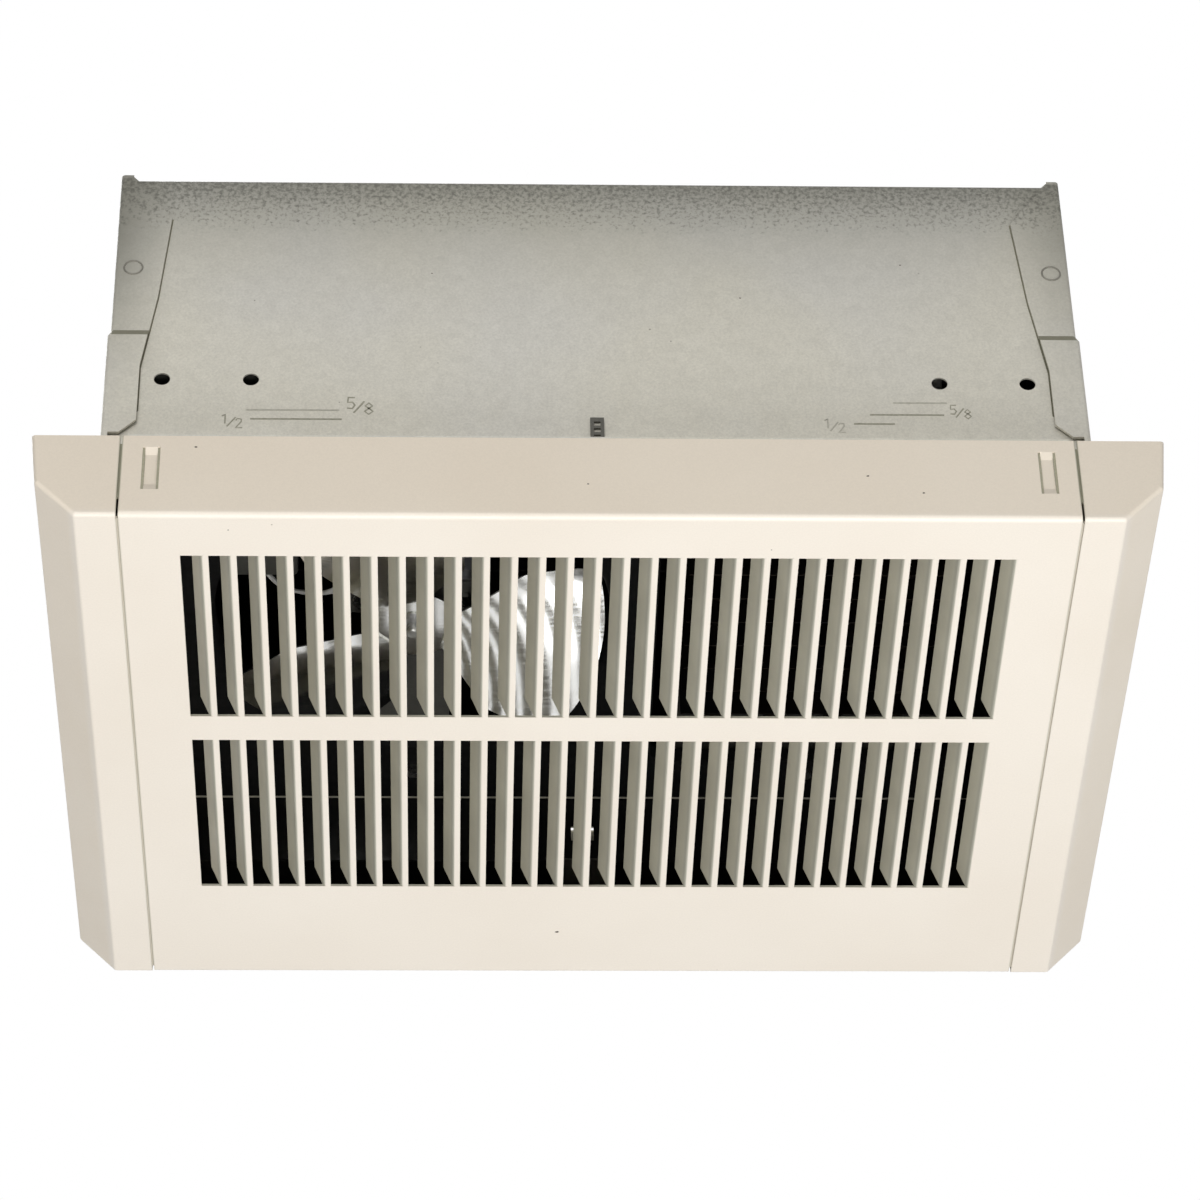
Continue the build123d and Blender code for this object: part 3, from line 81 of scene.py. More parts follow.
# Material helpers
class Shade:
    """A material with one principled shader, and short calls that add nodes to it."""

    def __init__(self, name, roughness, metallic=0.0, **sockets):
        self.material = bpy.data.materials.new(name)
        self.material.use_nodes = True
        self.tree = self.material.node_tree
        self.shader = self.tree.nodes["Principled BSDF"]
        self.shader.inputs["Roughness"].default_value = roughness
        self.shader.inputs["Metallic"].default_value = metallic
        for socket, value in sockets.items():
            self.shader.inputs[socket.replace("_", " ")].default_value = value
        self.place = self.add("ShaderNodeTexCoord").outputs["Object"]

    def add(self, kind, **values):
        """A new node with its settings."""
        node = self.tree.nodes.new(kind)
        for key, value in values.items():
            setattr(node, key, value)
        return node

    def join(self, source, target):
        """Links one node's output to another's input."""
        self.tree.links.new(source, target)

    def feed(self, socket, value):
        """Gives a socket a link or a plain value."""
        if isinstance(value, bpy.types.NodeSocket):
            self.join(value, socket)
        else:
            socket.default_value = value

    def axis(self, name):
        """One of the object's own coordinates."""
        node = self.add("ShaderNodeSeparateXYZ")
        self.join(self.place, node.inputs[0])
        return node.outputs[name]

    def scaled(self, scale):
        """The object's own coordinates, stretched along each axis."""
        mapping = self.add("ShaderNodeMapping")
        mapping.inputs["Scale"].default_value = scale
        self.join(self.place, mapping.inputs["Vector"])
        return mapping.outputs["Vector"]

    def noise(self, scale, detail=3.0, roughness=0.5, vector=None):
        """Soft noise, mostly between 0.3 and 0.7."""
        node = self.add("ShaderNodeTexNoise")
        node.inputs["Scale"].default_value = scale
        node.inputs["Detail"].default_value = detail
        node.inputs["Roughness"].default_value = roughness
        self.join(vector or self.place, node.inputs["Vector"])
        return node.outputs["Fac"]

    def cells(self, scale, output="Color"):
        """Flat cells: each one's own colour, or the distance from its middle."""
        node = self.add("ShaderNodeTexVoronoi")
        node.inputs["Scale"].default_value = scale
        self.join(self.place, node.inputs["Vector"])
        return node.outputs[output]

    def bands(self, scale, direction, distortion=0.0):
        """Parallel bands that rise and fall smoothly along a direction."""
        node = self.add("ShaderNodeTexWave", wave_type="BANDS", bands_direction=direction)
        node.inputs["Scale"].default_value = scale
        node.inputs["Distortion"].default_value = distortion
        self.join(self.place, node.inputs["Vector"])
        return node.outputs["Fac"]

    def ramp(self, value, stops):
        """Maps a value through colour stops, each a position and a colour."""
        node = self.add("ShaderNodeValToRGB")
        elements = node.color_ramp.elements
        while len(elements) < len(stops):
            elements.new(1.0)
        for element, (position, color) in zip(elements, stops):
            element.position = position
            element.color = (*color, 1.0)
        self.join(value, node.inputs["Fac"])
        return node.outputs["Color"]

    def grey(self, value, stops):
        """Maps a value through grey stops, each a position and a level."""
        return self.ramp(value, [(position, (level, level, level)) for position, level in stops])

    def spread(self, value, low, high, to_low=0.0, to_high=1.0):
        """Maps a range of the value to another range, and holds it beyond both ends."""
        node = self.add("ShaderNodeMapRange", clamp=True)
        for socket, level in ((1, low), (2, high), (3, to_low), (4, to_high)):
            node.inputs[socket].default_value = level
        self.join(value, node.inputs[0])
        return node.outputs[0]

    def mix(self, amount, first, second, blend="MIX"):
        """The first colour with an amount of the second in it."""
        node = self.add("ShaderNodeMix", data_type="RGBA", blend_type=blend)
        self.feed(node.inputs[0], amount)
        for socket, color in ((6, first), (7, second)):
            self.feed(node.inputs[socket], (*color, 1.0) if isinstance(color, tuple) else color)
        return node.outputs[2]

    def tinted(self, tone, tint):
        """A tone multiplied by another."""
        return self.mix(1.0, tone, tint, "MULTIPLY")

    def math(self, operation, first, second=0.0, clamp=False):
        """Result of an operation on one or two values."""
        node = self.add("ShaderNodeMath", operation=operation, use_clamp=clamp)
        self.feed(node.inputs[0], first)
        self.feed(node.inputs[1], second)
        return node.outputs[0]

    def distance(self, value):
        """The value's distance from zero."""
        return self.math("ABSOLUTE", value)

    def below(self, value, limit):
        """One where the value is below a limit, else zero."""
        return self.math("LESS_THAN", value, limit)

    def above(self, value, limit):
        """One where the value is above a limit, else zero."""
        return self.math("GREATER_THAN", value, limit)

    def between(self, value, low, high):
        """One where the value lies between two limits, else zero."""
        return self.times(self.above(value, low), self.below(value, high))

    def times(self, first, *factors):
        """Product of all the values."""
        for factor in factors:
            first = self.math("MULTIPLY", first, factor)
        return first

    def flecks(self, spacing, core, rim, patch, threshold, strength):
        """Small dots that gather in scattered patches."""
        dots = self.grey(self.cells(spacing, "Distance"), [(core, 1.0), (rim, 0.0)])
        patches = self.grey(self.noise(patch, 1.0), [(threshold, 0.0), (threshold + 0.03, 1.0)])
        return self.times(dots, patches, strength)

    def color(self, value):
        """Sets the colour of the finish."""
        self.join(value, self.shader.inputs["Base Color"])

    def rough(self, value):
        """Sets the roughness of the finish."""
        self.join(value, self.shader.inputs["Roughness"])

    def bump(self, height, strength, distance):
        """Sets a fine relief, its full height given in metres."""
        node = self.add("ShaderNodeBump")
        node.inputs["Strength"].default_value = strength
        node.inputs["Distance"].default_value = distance
        self.join(height, node.inputs["Height"])
        self.join(node.outputs["Normal"], self.shader.inputs["Normal"])


def srgb(red, green, blue):
    """Linear colour of an 8-bit screen colour."""
    levels = [value / 255 for value in (red, green, blue)]
    return tuple(v / 12.92 if v <= 0.04045 else ((v + 0.055) / 1.055) ** 2.4 for v in levels)


def wall_z(share):
    """Height at that share of the box wall, from its lower edge."""
    return box_low.z + share * (box_high.z - box_low.z)


# Cream powder coat
def louvre_rows(shade, across, height):
    """One on the louvre blades, behind the face of the panel."""
    return shade.times(
        shade.between(shade.axis("Y"), louvres_front_y, louvres_rear_y),
        shade.below(across, louvres_half_width),
        shade.spread(height, 0.02 * sheet, 0.16 * sheet),
    )


def grille_inside_shade(shade, across, along, height, rows):
    """One on the inside of the grille, but for the blades and the pressed-in stitches."""
    inside = shade.times(
        shade.below(along, panel_high.y - 0.9 * sheet),
        shade.below(across, panel_high.x + 0.4 * sheet),
        shade.spread(height, 0.9 * sheet, 1.3 * sheet),
    )
    stitches = shade.times(
        shade.between(across, stitch_x - stitch_paint_half, stitch_x + stitch_paint_half),
        shade.between(height, stitch_low_z, stitch_high_z),
        shade.above(along, panel_high.y - 2.2 * sheet),
    )
    return shade.math("SUBTRACT", inside, shade.math("ADD", stitches, rows), clamp=True)


def blade_shade(shade, height):
    """Painted shade on a blade: khaki grey, darkest in its bend, and a little uneven."""
    tint = shade.grey(
        shade.spread(height, 0.0, louvre_height),
        [(0.00, 0.90), (0.03, 0.62), (0.10, 0.74), (0.25, 0.92), (0.80, 1.00), (1.00, 0.90)],
    )
    tint = shade.tinted(tint, (0.80, 0.84, 0.79))
    return shade.tinted(tint, shade.grey(shade.noise(38.0), [(0.35, 0.90), (0.65, 1.0)]))


def cream_paint():
    """Orange peel, faint uneven tone and specks, with painted shade: darker and warmer above the face,
    khaki on the blades and inside, and in the seams.
    """
    shade = Shade("cream_paint", 0.42, IOR=1.5)
    across = shade.distance(shade.axis("X"))
    along = shade.distance(shade.axis("Y"))
    height = shade.axis("Z")
    tone = shade.ramp(shade.noise(9.0, 4.0), [(0.35, srgb(237, 228, 215)), (0.65, srgb(241, 233, 221))])
    tone = shade.tinted(tone, shade.grey(shade.noise(1400.0, 2.0), [(0.3, 0.965), (0.7, 1.0)]))
    # Painted shade: above the face the cream is tinted a little darker and warmer
    side = shade.spread(height, 0.6 * sheet, 3.0 * sheet)
    tone = shade.mix(side, tone, shade.tinted(tone, (0.98, 0.96, 0.92)))
    rows = louvre_rows(shade, across, height)
    # Painted shade: the inside of the grille in dark khaki grey
    tone = shade.mix(grille_inside_shade(shade, across, along, height, rows), tone, srgb(112, 110, 96))
    # Painted shade: the blades in khaki grey, darkest in their bends
    tone = shade.mix(rows, tone, shade.tinted(tone, blade_shade(shade, height)))
    # Painted shade: dark khaki in the seams beside the end caps, weaker close to the face
    off_seam = shade.distance(shade.math("SUBTRACT", across, panel_high.x + seam_gap / 2))
    seam = shade.times(
        shade.spread(off_seam, 0.5 * seam_gap, 1.1 * seam_gap, 1.0, 0.0),
        shade.spread(height, 0.0, seam_shade_reach, 0.35, 0.95),
    )
    tone = shade.mix(seam, tone, srgb(150, 149, 128))
    specks = shade.flecks(95.0, 0.028, 0.045, 23.0, 0.63, 0.55)
    shade.color(shade.mix(specks, tone, srgb(120, 104, 84)))
    shade.rough(shade.grey(shade.noise(60.0), [(0.3, 0.36), (0.7, 0.46)]))
    shade.bump(shade.noise(900.0, 2.0), 0.10, 0.00008)
    return shade


# Zinc coated sheet
def wall_shade_and_mottle(shade, tone, height):
    """Painted shade towards the top of the walls and their ends, and a mottle near the top, but plain on
    the top.
    """
    on_wall = shade.spread(height, box_high.z - 0.6 * sheet, box_high.z - 0.1 * sheet, 1.0, 0.3)
    # Painted shade darkening the upper part of the walls
    upper = shade.math("POWER", shade.spread(height, wall_z(0.42), wall_z(1.0)), 2.2)
    tone = shade.mix(shade.times(upper, on_wall, 0.8), tone, srgb(118, 118, 109))
    # Painted shade towards the ends of the walls, more at the left end
    ends = shade.times(
        shade.spread(shade.distance(shade.axis("X")), 0.88 * side_x, 0.99 * side_x),
        shade.spread(height, wall_z(0.20), wall_z(0.80), 0.0, 0.4),
        shade.spread(shade.axis("X"), -side_x, side_x, 2.0, 1.3),
    )
    tone = shade.mix(ends, tone, srgb(120, 119, 109))
    threshold = shade.math("ADD", shade.spread(height, wall_z(0.74), wall_z(0.98), 0.22, 0.0), 0.44)
    blotches = shade.math("SUBTRACT", shade.noise(620.0, 4.0, 0.65), threshold)
    mottle = shade.times(
        shade.spread(blotches, -0.03, 0.16, 0.0, 0.62),
        shade.spread(height, wall_z(0.80), wall_z(0.85)),
        on_wall,
    )
    return shade.mix(mottle, tone, srgb(66, 66, 58))


def box_inside(shade, height):
    """One on the inside of the box and on the lower edges of its front and rear walls."""
    along = shade.distance(shade.axis("Y"))
    inner = shade.times(
        shade.below(along, wall_y - 0.7 * sheet),
        shade.below(shade.distance(shade.axis("X")), side_x - 0.5 * sheet),
        shade.below(height, box_high.z - 0.7 * sheet),
    )
    lower_edge = shade.times(
        shade.below(height, box_low.z + 0.2 * sheet),
        shade.below(along, wall_y + 0.1 * sheet),
    )
    return shade.math("MAXIMUM", inner, lower_edge)


def galvanised(name, shade_inside=True, level=1.0):
    """Small spangles, a mottle near the top and pits, with painted shade darker towards the top and the
    ends, a painted shadow along the joggle, and painted shade near black inside the box.
    """
    shade = Shade(name, 0.5, 0.3)
    height = shade.axis("Z")
    warm = shade.grey(shade.noise(10.0, 2.0), [(0.40, 0.0), (0.60, 1.0)])
    tone = shade.mix(warm, srgb(219, 217, 209), srgb(221, 218, 206))
    tone = shade.tinted(tone, shade.grey(shade.cells(230.0), [(0.0, 0.94), (1.0, 1.0)]))
    tone = shade.tinted(tone, shade.grey(shade.noise(1100.0, 3.0, 0.7), [(0.25, 0.86), (0.7, 1.05)]))
    # Painted shade: the walls darker towards the top
    tone = shade.tinted(tone, shade.spread(height, wall_z(0.10), wall_z(0.55), 1.0, 0.90))
    tone = wall_shade_and_mottle(shade, tone, height)
    # Painted shadow along the step of the joggle in the laps
    joggle_shadow = shade.times(
        shade.between(height, joggle_low_z, joggle_high_z),
        shade.above(shade.distance(shade.axis("Y")), wall_y + 0.5 * sheet),
    )
    tone = shade.mix(joggle_shadow, tone, srgb(126, 124, 106))
    tone = shade.mix(shade.flecks(130.0, 0.035, 0.06, 31.0, 0.60, 0.6), tone, srgb(92, 90, 78))
    # Painted shade: the inside of the box and the lower edges of its walls near black
    if shade_inside:
        tone = shade.mix(box_inside(shade, height), tone, (0.004, 0.004, 0.004))
    # Painted shade: the whole finish darkened to the given level
    if level < 1:
        tone = shade.tinted(tone, (level, level, 0.97 * level))
    shade.color(tone)
    shade.rough(shade.grey(shade.noise(260.0), [(0.3, 0.46), (0.7, 0.62)]))
    shade.bump(shade.noise(700.0), 0.06, 0.0001)
    return shade


# Other finishes
def dark_paint():
    """Matt black heat-proof paint with a fine grain, and a painted highlight in grey along the deck's rear
    edge.
    """
    shade = Shade("black_paint", 0.8, Specular_IOR_Level=0.15)
    tone = shade.grey(shade.noise(300.0), [(0.3, 0.003), (0.7, 0.006)])
    # Painted highlight in grey along the deck's rear edge
    edge_highlight = shade.times(
        shade.above(shade.axis("Y"), deck_high.y - 2.2 * sheet),
        shade.between(shade.axis("Z"), deck_low.z - 0.2 * sheet, deck_low.z + 1.2 * sheet),
    )
    shade.color(shade.mix(edge_highlight, tone, (0.42, 0.40, 0.33)))
    shade.rough(shade.grey(shade.noise(200.0, 2.0), [(0.3, 0.7), (0.7, 0.85)]))
    shade.bump(shade.noise(1500.0, 2.0), 0.15, 0.00006)
    return shade


def polished_aluminium():
    """Bright rolled sheet with faint rolling lines, duller along some of them."""
    shade = Shade("aluminium", 0.1, 1.0)
    lines = shade.noise(60.0, 4.0, 0.6, shade.scaled((1.0, 18.0, 1.0)))
    shade.color(shade.ramp(lines, [(0.3, (0.86, 0.86, 0.84)), (0.7, (0.95, 0.95, 0.93))]))
    shade.rough(shade.grey(lines, [(0.3, 0.08), (0.75, 0.18)]))
    shade.bump(lines, 0.03, 0.0001)
    return shade


def plain_metal(name, dark, light, rough_low, rough_high, metallic=1.0, scale=220.0):
    """Metal with a fine grain between two tones."""
    shade = Shade(name, rough_low, metallic)
    grain = shade.noise(scale, 4.0, 0.6)
    shade.color(shade.ramp(grain, [(0.3, dark), (0.7, light)]))
    shade.rough(shade.grey(shade.noise(scale / 2), [(0.3, rough_low), (0.7, rough_high)]))
    shade.bump(grain, 0.06, 0.00008)
    return shade


def lamination():
    """Edges of thin stacked steel sheets."""
    shade = Shade("lamination", 0.45, 0.8)
    sheets = shade.bands(320.0, "Z")
    tone = shade.ramp(sheets, [(0.2, (0.09, 0.09, 0.095)), (0.6, (0.24, 0.24, 0.25))])
    shade.color(shade.tinted(tone, shade.grey(shade.noise(90.0), [(0.3, 0.75), (0.7, 1.0)])))
    shade.bump(sheets, 0.5, 0.00012)
    return shade


def coil_tape():
    """Varnished yellow tape in overlapping turns."""
    shade = Shade("coil_tape", 0.4, Coat_Weight=0.3, Coat_Roughness=0.25)
    turns = shade.bands(70.0, "DIAGONAL", 0.4)
    tone = shade.ramp(
        turns,
        [(0.05, (0.36, 0.25, 0.06)), (0.2, (0.62, 0.49, 0.17)), (1.0, (0.70, 0.57, 0.23))],
    )
    shade.color(shade.tinted(tone, shade.grey(shade.noise(1800.0, 2.0), [(0.3, 0.86), (0.7, 1.0)])))
    shade.bump(turns, 0.5, 0.0002)
    return shade


def moulded(name, dark, light, roughness, scale=500.0):
    """Moulded or extruded plastic, or dirt, with a soft uneven sheen."""
    shade = Shade(name, roughness)
    grain = shade.noise(scale)
    shade.color(shade.ramp(grain, [(0.3, dark), (0.7, light)]))
    sheen = [(0.3, roughness - 0.06), (0.7, roughness + 0.06)]
    shade.rough(shade.grey(shade.noise(scale / 4, 2.0), sheen))
    shade.bump(grain, 0.06, 0.00006)
    return shade


def heat_tinted():
    """Steel sheath and fins, darkened and tinted where they run hot."""
    shade = Shade("element_steel", 0.45, 0.9)
    tints = [(0.3, (0.020, 0.015, 0.012)), (0.5, (0.040, 0.032, 0.024)), (0.7, (0.024, 0.024, 0.030))]
    shade.color(shade.ramp(shade.noise(40.0, 4.0), tints))
    shade.rough(shade.grey(shade.noise(150.0), [(0.3, 0.36), (0.7, 0.6)]))
    shade.bump(shade.noise(900.0, 2.0), 0.1, 0.00006)
    return shade


# Finishes of the record's slots, and a copy of the zinc coated sheet in painted shade, for sheet that lies
# in the dark of the box
inner_shade_level = 0.16
materials = {
    "cream_paint": cream_paint(),
    "galvanised": galvanised("galvanised"),
    "black_paint": dark_paint(),
    "aluminium": polished_aluminium(),
    "zinc_steel": plain_metal("zinc_steel", (0.42, 0.42, 0.40), (0.66, 0.66, 0.63), 0.22, 0.4),
    "lamination": lamination(),
    "die_cast": plain_metal("die_cast", (0.34, 0.34, 0.34), (0.52, 0.52, 0.52), 0.4, 0.6, 0.9, 500.0),
    "bronze": plain_metal("bronze", (0.34, 0.20, 0.08), (0.52, 0.34, 0.15), 0.4, 0.55),
    "copper": plain_metal("copper", (0.52, 0.22, 0.12), (0.74, 0.36, 0.22), 0.2, 0.35),
    "coil_tape": coil_tape(),
    "bobbin_plastic": moulded("bobbin_plastic", (0.50, 0.49, 0.45), (0.62, 0.61, 0.57), 0.45),
    "element_steel": heat_tinted(),
    "ceramic": moulded("ceramic", (0.66, 0.63, 0.56), (0.78, 0.75, 0.69), 0.25),
    "phenolic": moulded("phenolic", (0.014, 0.011, 0.010), (0.03, 0.024, 0.022), 0.35),
    "white_lead": moulded("white_lead", (0.78, 0.78, 0.75), (0.86, 0.86, 0.83), 0.35),
    "black_lead": moulded("black_lead", (0.012, 0.012, 0.013), (0.022, 0.022, 0.024), 0.35),
    "green_paint": moulded("green_paint", (0.008, 0.11, 0.03), (0.015, 0.17, 0.05), 0.35),
    "shaded_inner_steel": galvanised("shaded_inner_steel", False, inner_shade_level),
}
inner_sheet = (
    "motor_bridge",
    "wiring_cover",
    "element_bracket_front",
    "element_bracket_rear",
    "hanger_strap_front",
    "hanger_strap_rear",
)

for row in frame["record"]["subparts"]:
    node = row["node"]
    finish = "shaded_inner_steel" if node in inner_sheet else row["material_slot"]
    slots = nodes[node].data.materials
    slots.clear()
    slots.append(materials[finish].material)


# Small pieces and marks
def add_piece(name, vertices, faces, finish, body, under=None):
    """A piece of mesh that rides on a body, with a finish, and another on its first face."""
    mesh = bpy.data.meshes.new(name)
    mesh.from_pydata([tuple(vertex) for vertex in vertices], [], faces)
    mesh.materials.append(finish.material)
    if under:
        mesh.materials.append(under.material)
        mesh.polygons[0].material_index = 1
    work = bmesh.new()
    work.from_mesh(mesh)
    bmesh.ops.recalc_face_normals(work, faces=work.faces)
    work.to_mesh(mesh)
    work.free()
    piece = bpy.data.objects.new(name, mesh)
    bpy.context.scene.collection.objects.link(piece)
    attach(piece, body)
    return piece


def prism(outline, low, high):
    """Vertices and faces of an outline in X and Y, raised between two heights."""
    count = len(outline)
    vertices = [(x, y, low) for x, y in outline] + [(x, y, high) for x, y in outline]
    faces = [tuple(range(count)), tuple(range(2 * count - 1, count - 1, -1))]
    for corner in range(count):
        after = (corner + 1) % count
        faces.append((corner, after, count + after, count + corner))
    return vertices, faces


# Ceiling flanges: the box walls' lower edges turn out towards the grille, and shut the gap
flange_inset = 0.3 * MM
flange_sheet = 0.8 * MM
flange_overlap = 0.2 * MM
flange_low_z = box_low.z + 0.1 * MM
flange_end_x = panel_high.x - 2.0 * MM
ladder_half = 2.5 * MM
ladder_reach = 1.3 * MM
notch_play = 0.15 * MM
notch_half = ladder_half + notch_play
notch_reach = ladder_reach + notch_play


def ceiling_flange(name, side):
    """One flange, notched where the ladder of the hanger strap passes, with painted shade in black
    underneath.
    """
    root = wall_y - flange_overlap
    tip = panel_high.y - flange_inset
    outline = [
        (-flange_end_x, side * root),
        (-notch_half, side * root),
        (-notch_half, side * (root + notch_reach)),
        (notch_half, side * (root + notch_reach)),
        (notch_half, side * root),
        (flange_end_x, side * root),
        (flange_end_x, side * tip),
        (-flange_end_x, side * tip),
    ]
    vertices, faces = prism(outline, flange_low_z, flange_low_z + flange_sheet)
    # The black on the underside is painted shade, as inside the box
    add_piece(name, vertices, faces, materials["galvanised"], "box", materials["black_paint"])


ceiling_flange("ceiling_flange_front", -1)
ceiling_flange("ceiling_flange_rear", 1)

# Stitch burrs: coated sheared edges that close the cuts beside each pressed-in strap, their cream darkened
# to khaki as painted shade
burr_depth = 0.4 * MM
burr_sheet = 0.3 * MM
burr_inset = 0.4 * MM
burr_shade_finish = moulded("stitch_burr", srgb(158, 155, 134), srgb(172, 169, 149), 0.6, 900.0)


def stitch_burr(name, x_side, y_side, edge):
    """The burr on one edge of one strap."""
    inner = x_side * stitch_x + edge * stitch_strap_half
    outer = x_side * stitch_x + edge * stitch_window_half
    front = y_side * (panel_high.y - burr_depth)
    rear = y_side * (panel_high.y - burr_depth - burr_sheet)
    outline = [(inner, front), (outer, front), (outer, rear), (inner, rear)]
    vertices, faces = prism(outline, stitch_low_z + burr_inset, stitch_high_z - burr_inset)
    add_piece(name, vertices, faces, burr_shade_finish, "grille")


both_ways = (-1, 1)
burr_sides = [(x_side, y_side, edge) for x_side in both_ways for y_side in both_ways for edge in both_ways]
for number, sides in enumerate(burr_sides, 1):
    stitch_burr(f"stitch_burr_{number}", *sides)

# Weld rings: one on each lap of the side panels, front and rear
weld_x = 170.5 * MM
weld_z = 141.0 * MM
weld_radius = 3.4 * MM
weld_bead = 0.35 * MM
weld_steps = 32
weld_sides = 8
weld_finish = plain_metal("weld_bead", (0.15, 0.145, 0.12), (0.24, 0.23, 0.20), 0.45, 0.6, 0.5, 400.0)


def weld_ring(name, x, y):
    """A low round bead that stands half out of the lap."""
    vertices = []
    faces = []
    for step in range(weld_steps):
        turn = math.tau * step / weld_steps
        for side in range(weld_sides):
            tilt = math.tau * side / weld_sides
            reach = weld_radius + weld_bead * math.cos(tilt)
            place_x = x + reach * math.cos(turn)
            place_z = weld_z + reach * math.sin(turn)
            vertices.append((place_x, y + weld_bead * math.sin(tilt), place_z))
            first = step * weld_sides
            second = (step + 1) % weld_steps * weld_sides
            across = (side + 1) % weld_sides
            faces.append((first + side, first + across, second + across, second + side))
    ring = add_piece(name, vertices, faces, weld_finish, "box")
    ring.data.polygons.foreach_set("use_smooth", [True] * len(faces))


weld_places = [(x, y) for x in (-weld_x, weld_x) for y in (-lap_y, lap_y)]
for number, (x, y) in enumerate(weld_places, 1):
    weld_ring(f"weld_ring_{number}", x, y)


# Lines on the front wall
line_proud = 0.05 * MM


def stamp(name, points, width, finish):
    """A thin line on the front wall through points given as x and z."""
    vertices = []
    last = len(points) - 1
    for index, point in enumerate(points):
        before = Vector(points[max(index - 1, 0)])
        after = Vector(points[min(index + 1, last)])
        across = (after - before).normalized().orthogonal() * width / 2
        for place in (Vector(point) + across, Vector(point) - across):
            vertices.append((place.x, -wall_y - line_proud, place.y))
            vertices.append((place.x, -wall_y + line_proud, place.y))
    faces = [(0, 1, 3, 2), tuple(4 * last + corner for corner in (0, 2, 3, 1))]
    for index in range(last):
        start = 4 * index
        for first, second in ((0, 2), (2, 3), (3, 1), (1, 0)):
            faces.append((start + first, start + second, start + 4 + second, start + 4 + first))
    add_piece(name, vertices, faces, finish, "box")


# Painted shadow: dark lines beside the inner edges of the side panels' laps, and fainter ones up their
# mitres
lap_edge = ((157.2, 167.0), (160.8, 126.0), (165.8, 91.0), (165.8, 70.0), (171.8, 64.0))
lap_mitre = ((157.4, 167.6), (171.6, 187.2))
seam_width = 0.9 * MM
mitre_width = 0.6 * MM
lap_shadow_finish = moulded("lap_shadow_line", srgb(96, 94, 78), srgb(120, 118, 100), 0.7, 700.0)
mitre_shadow_finish = moulded("mitre_shadow_line", srgb(118, 117, 104), srgb(136, 135, 121), 0.7, 700.0)
for name, side in (("left", -MM), ("right", MM)):
    stamp(f"lap_seam_{name}", [(x * side, z * MM) for x, z in lap_edge], seam_width, lap_shadow_finish)
    stamp(f"lap_mitre_{name}", [(x * side, z * MM) for x, z in lap_mitre], mitre_width, mitre_shadow_finish)

# Gauge lines stamped on the front wall, for the depth of the ceiling board
line_width = 0.7 * MM
strong_stamp = moulded("stamp", srgb(150, 149, 132), srgb(178, 176, 160), 0.6, 700.0)
faint_stamp = moulded("faint_stamp", srgb(186, 184, 172), srgb(202, 200, 188), 0.6, 700.0)
gauge_lines = (
    (-125.0, -92.0, 66.4, strong_stamp),
    (-126.6, -93.0, 70.8, faint_stamp),
    (93.0, 107.8, 65.6, strong_stamp),
    (99.0, 126.0, 70.1, strong_stamp),
    (107.7, 127.4, 76.0, faint_stamp),
)
for number, (x_from, x_to, z, finish) in enumerate(gauge_lines, 1):
    stamp(f"gauge_line_{number}", [(x_from * MM, z * MM), (x_to * MM, z * MM)], line_width, finish)

# Plain fractions beside the gauge lines, each figure drawn in a box 1 wide and 1.5 high
figure_size = 3.0 * MM
stroke_share = 0.18
slash = [(0.0, 0.0), (1.0, 1.5)]
figures = {
    "1": [(0.1, 1.2), (0.5, 1.5), (0.5, 0.0)],
    "2": [(0.1, 1.2), (0.3, 1.5), (0.75, 1.4), (0.75, 1.0), (0.1, 0.0), (0.9, 0.0)],
    "5": [(0.85, 1.5), (0.2, 1.5), (0.15, 0.85), (0.6, 0.9), (0.85, 0.5), (0.6, 0.05), (0.1, 0.1)],
    "8": [
        (0.5, 0.8), (0.15, 1.1), (0.5, 1.5), (0.85, 1.1), (0.5, 0.8),
        (0.1, 0.4), (0.5, 0.0), (0.9, 0.4), (0.5, 0.8),
    ],
}


def fraction(name, top, bottom, x, z, size, finish):
    """Two figures with a slash between them, the second a little lower."""
    for part, points, shift, lift in (
        ("top", figures[top], 0.0, 0.5),
        ("slash", slash, 0.75, 0.0),
        ("bottom", figures[bottom], 1.7, -0.2),
    ):
        stroke = [(x + size * (px + shift), z + size * (pz + lift)) for px, pz in points]
        stamp(f"{name}_{part}", stroke, stroke_share * size, finish)


fraction("half_left", "1", "2", -135.5 * MM, 62.6 * MM, figure_size, strong_stamp)
fraction("five_eighths_left", "5", "8", -90.6 * MM, 69.6 * MM, 1.25 * figure_size, strong_stamp)
fraction("half_right", "1", "2", 82.0 * MM, 62.0 * MM, figure_size, faint_stamp)
fraction("five_eighths_right", "5", "8", 128.0 * MM, 69.0 * MM, figure_size, strong_stamp)

# Specks of dirt: two places on the surface and a size, in millimetres
random.seed(7)
speck_finish = moulded("speck", (0.05, 0.04, 0.03), (0.10, 0.08, 0.06), 0.7)
speck_sides = 9
speck_stretch = 1.5
speck_rings = ((1.0, -0.1), (0.6, 0.12))
face_specks = ((-10.7, 108.8, 0.75), (-130.0, -128.2, 0.3), (60.0, -119.0, 0.25))
flange_specks = ((-142.1, 31.8, 0.45), (93.8, 19.8, 0.45), (-4.6, 15.4, 0.35), (113.0, 12.0, 0.4))
wall_specks = ((54.0, 128.3, 0.4), (114.5, 145.9, 0.35), (-60.0, 140.0, 0.3))
x_way, y_way, z_way = Vector((1, 0, 0)), Vector((0, 1, 0)), Vector((0, 0, 1))


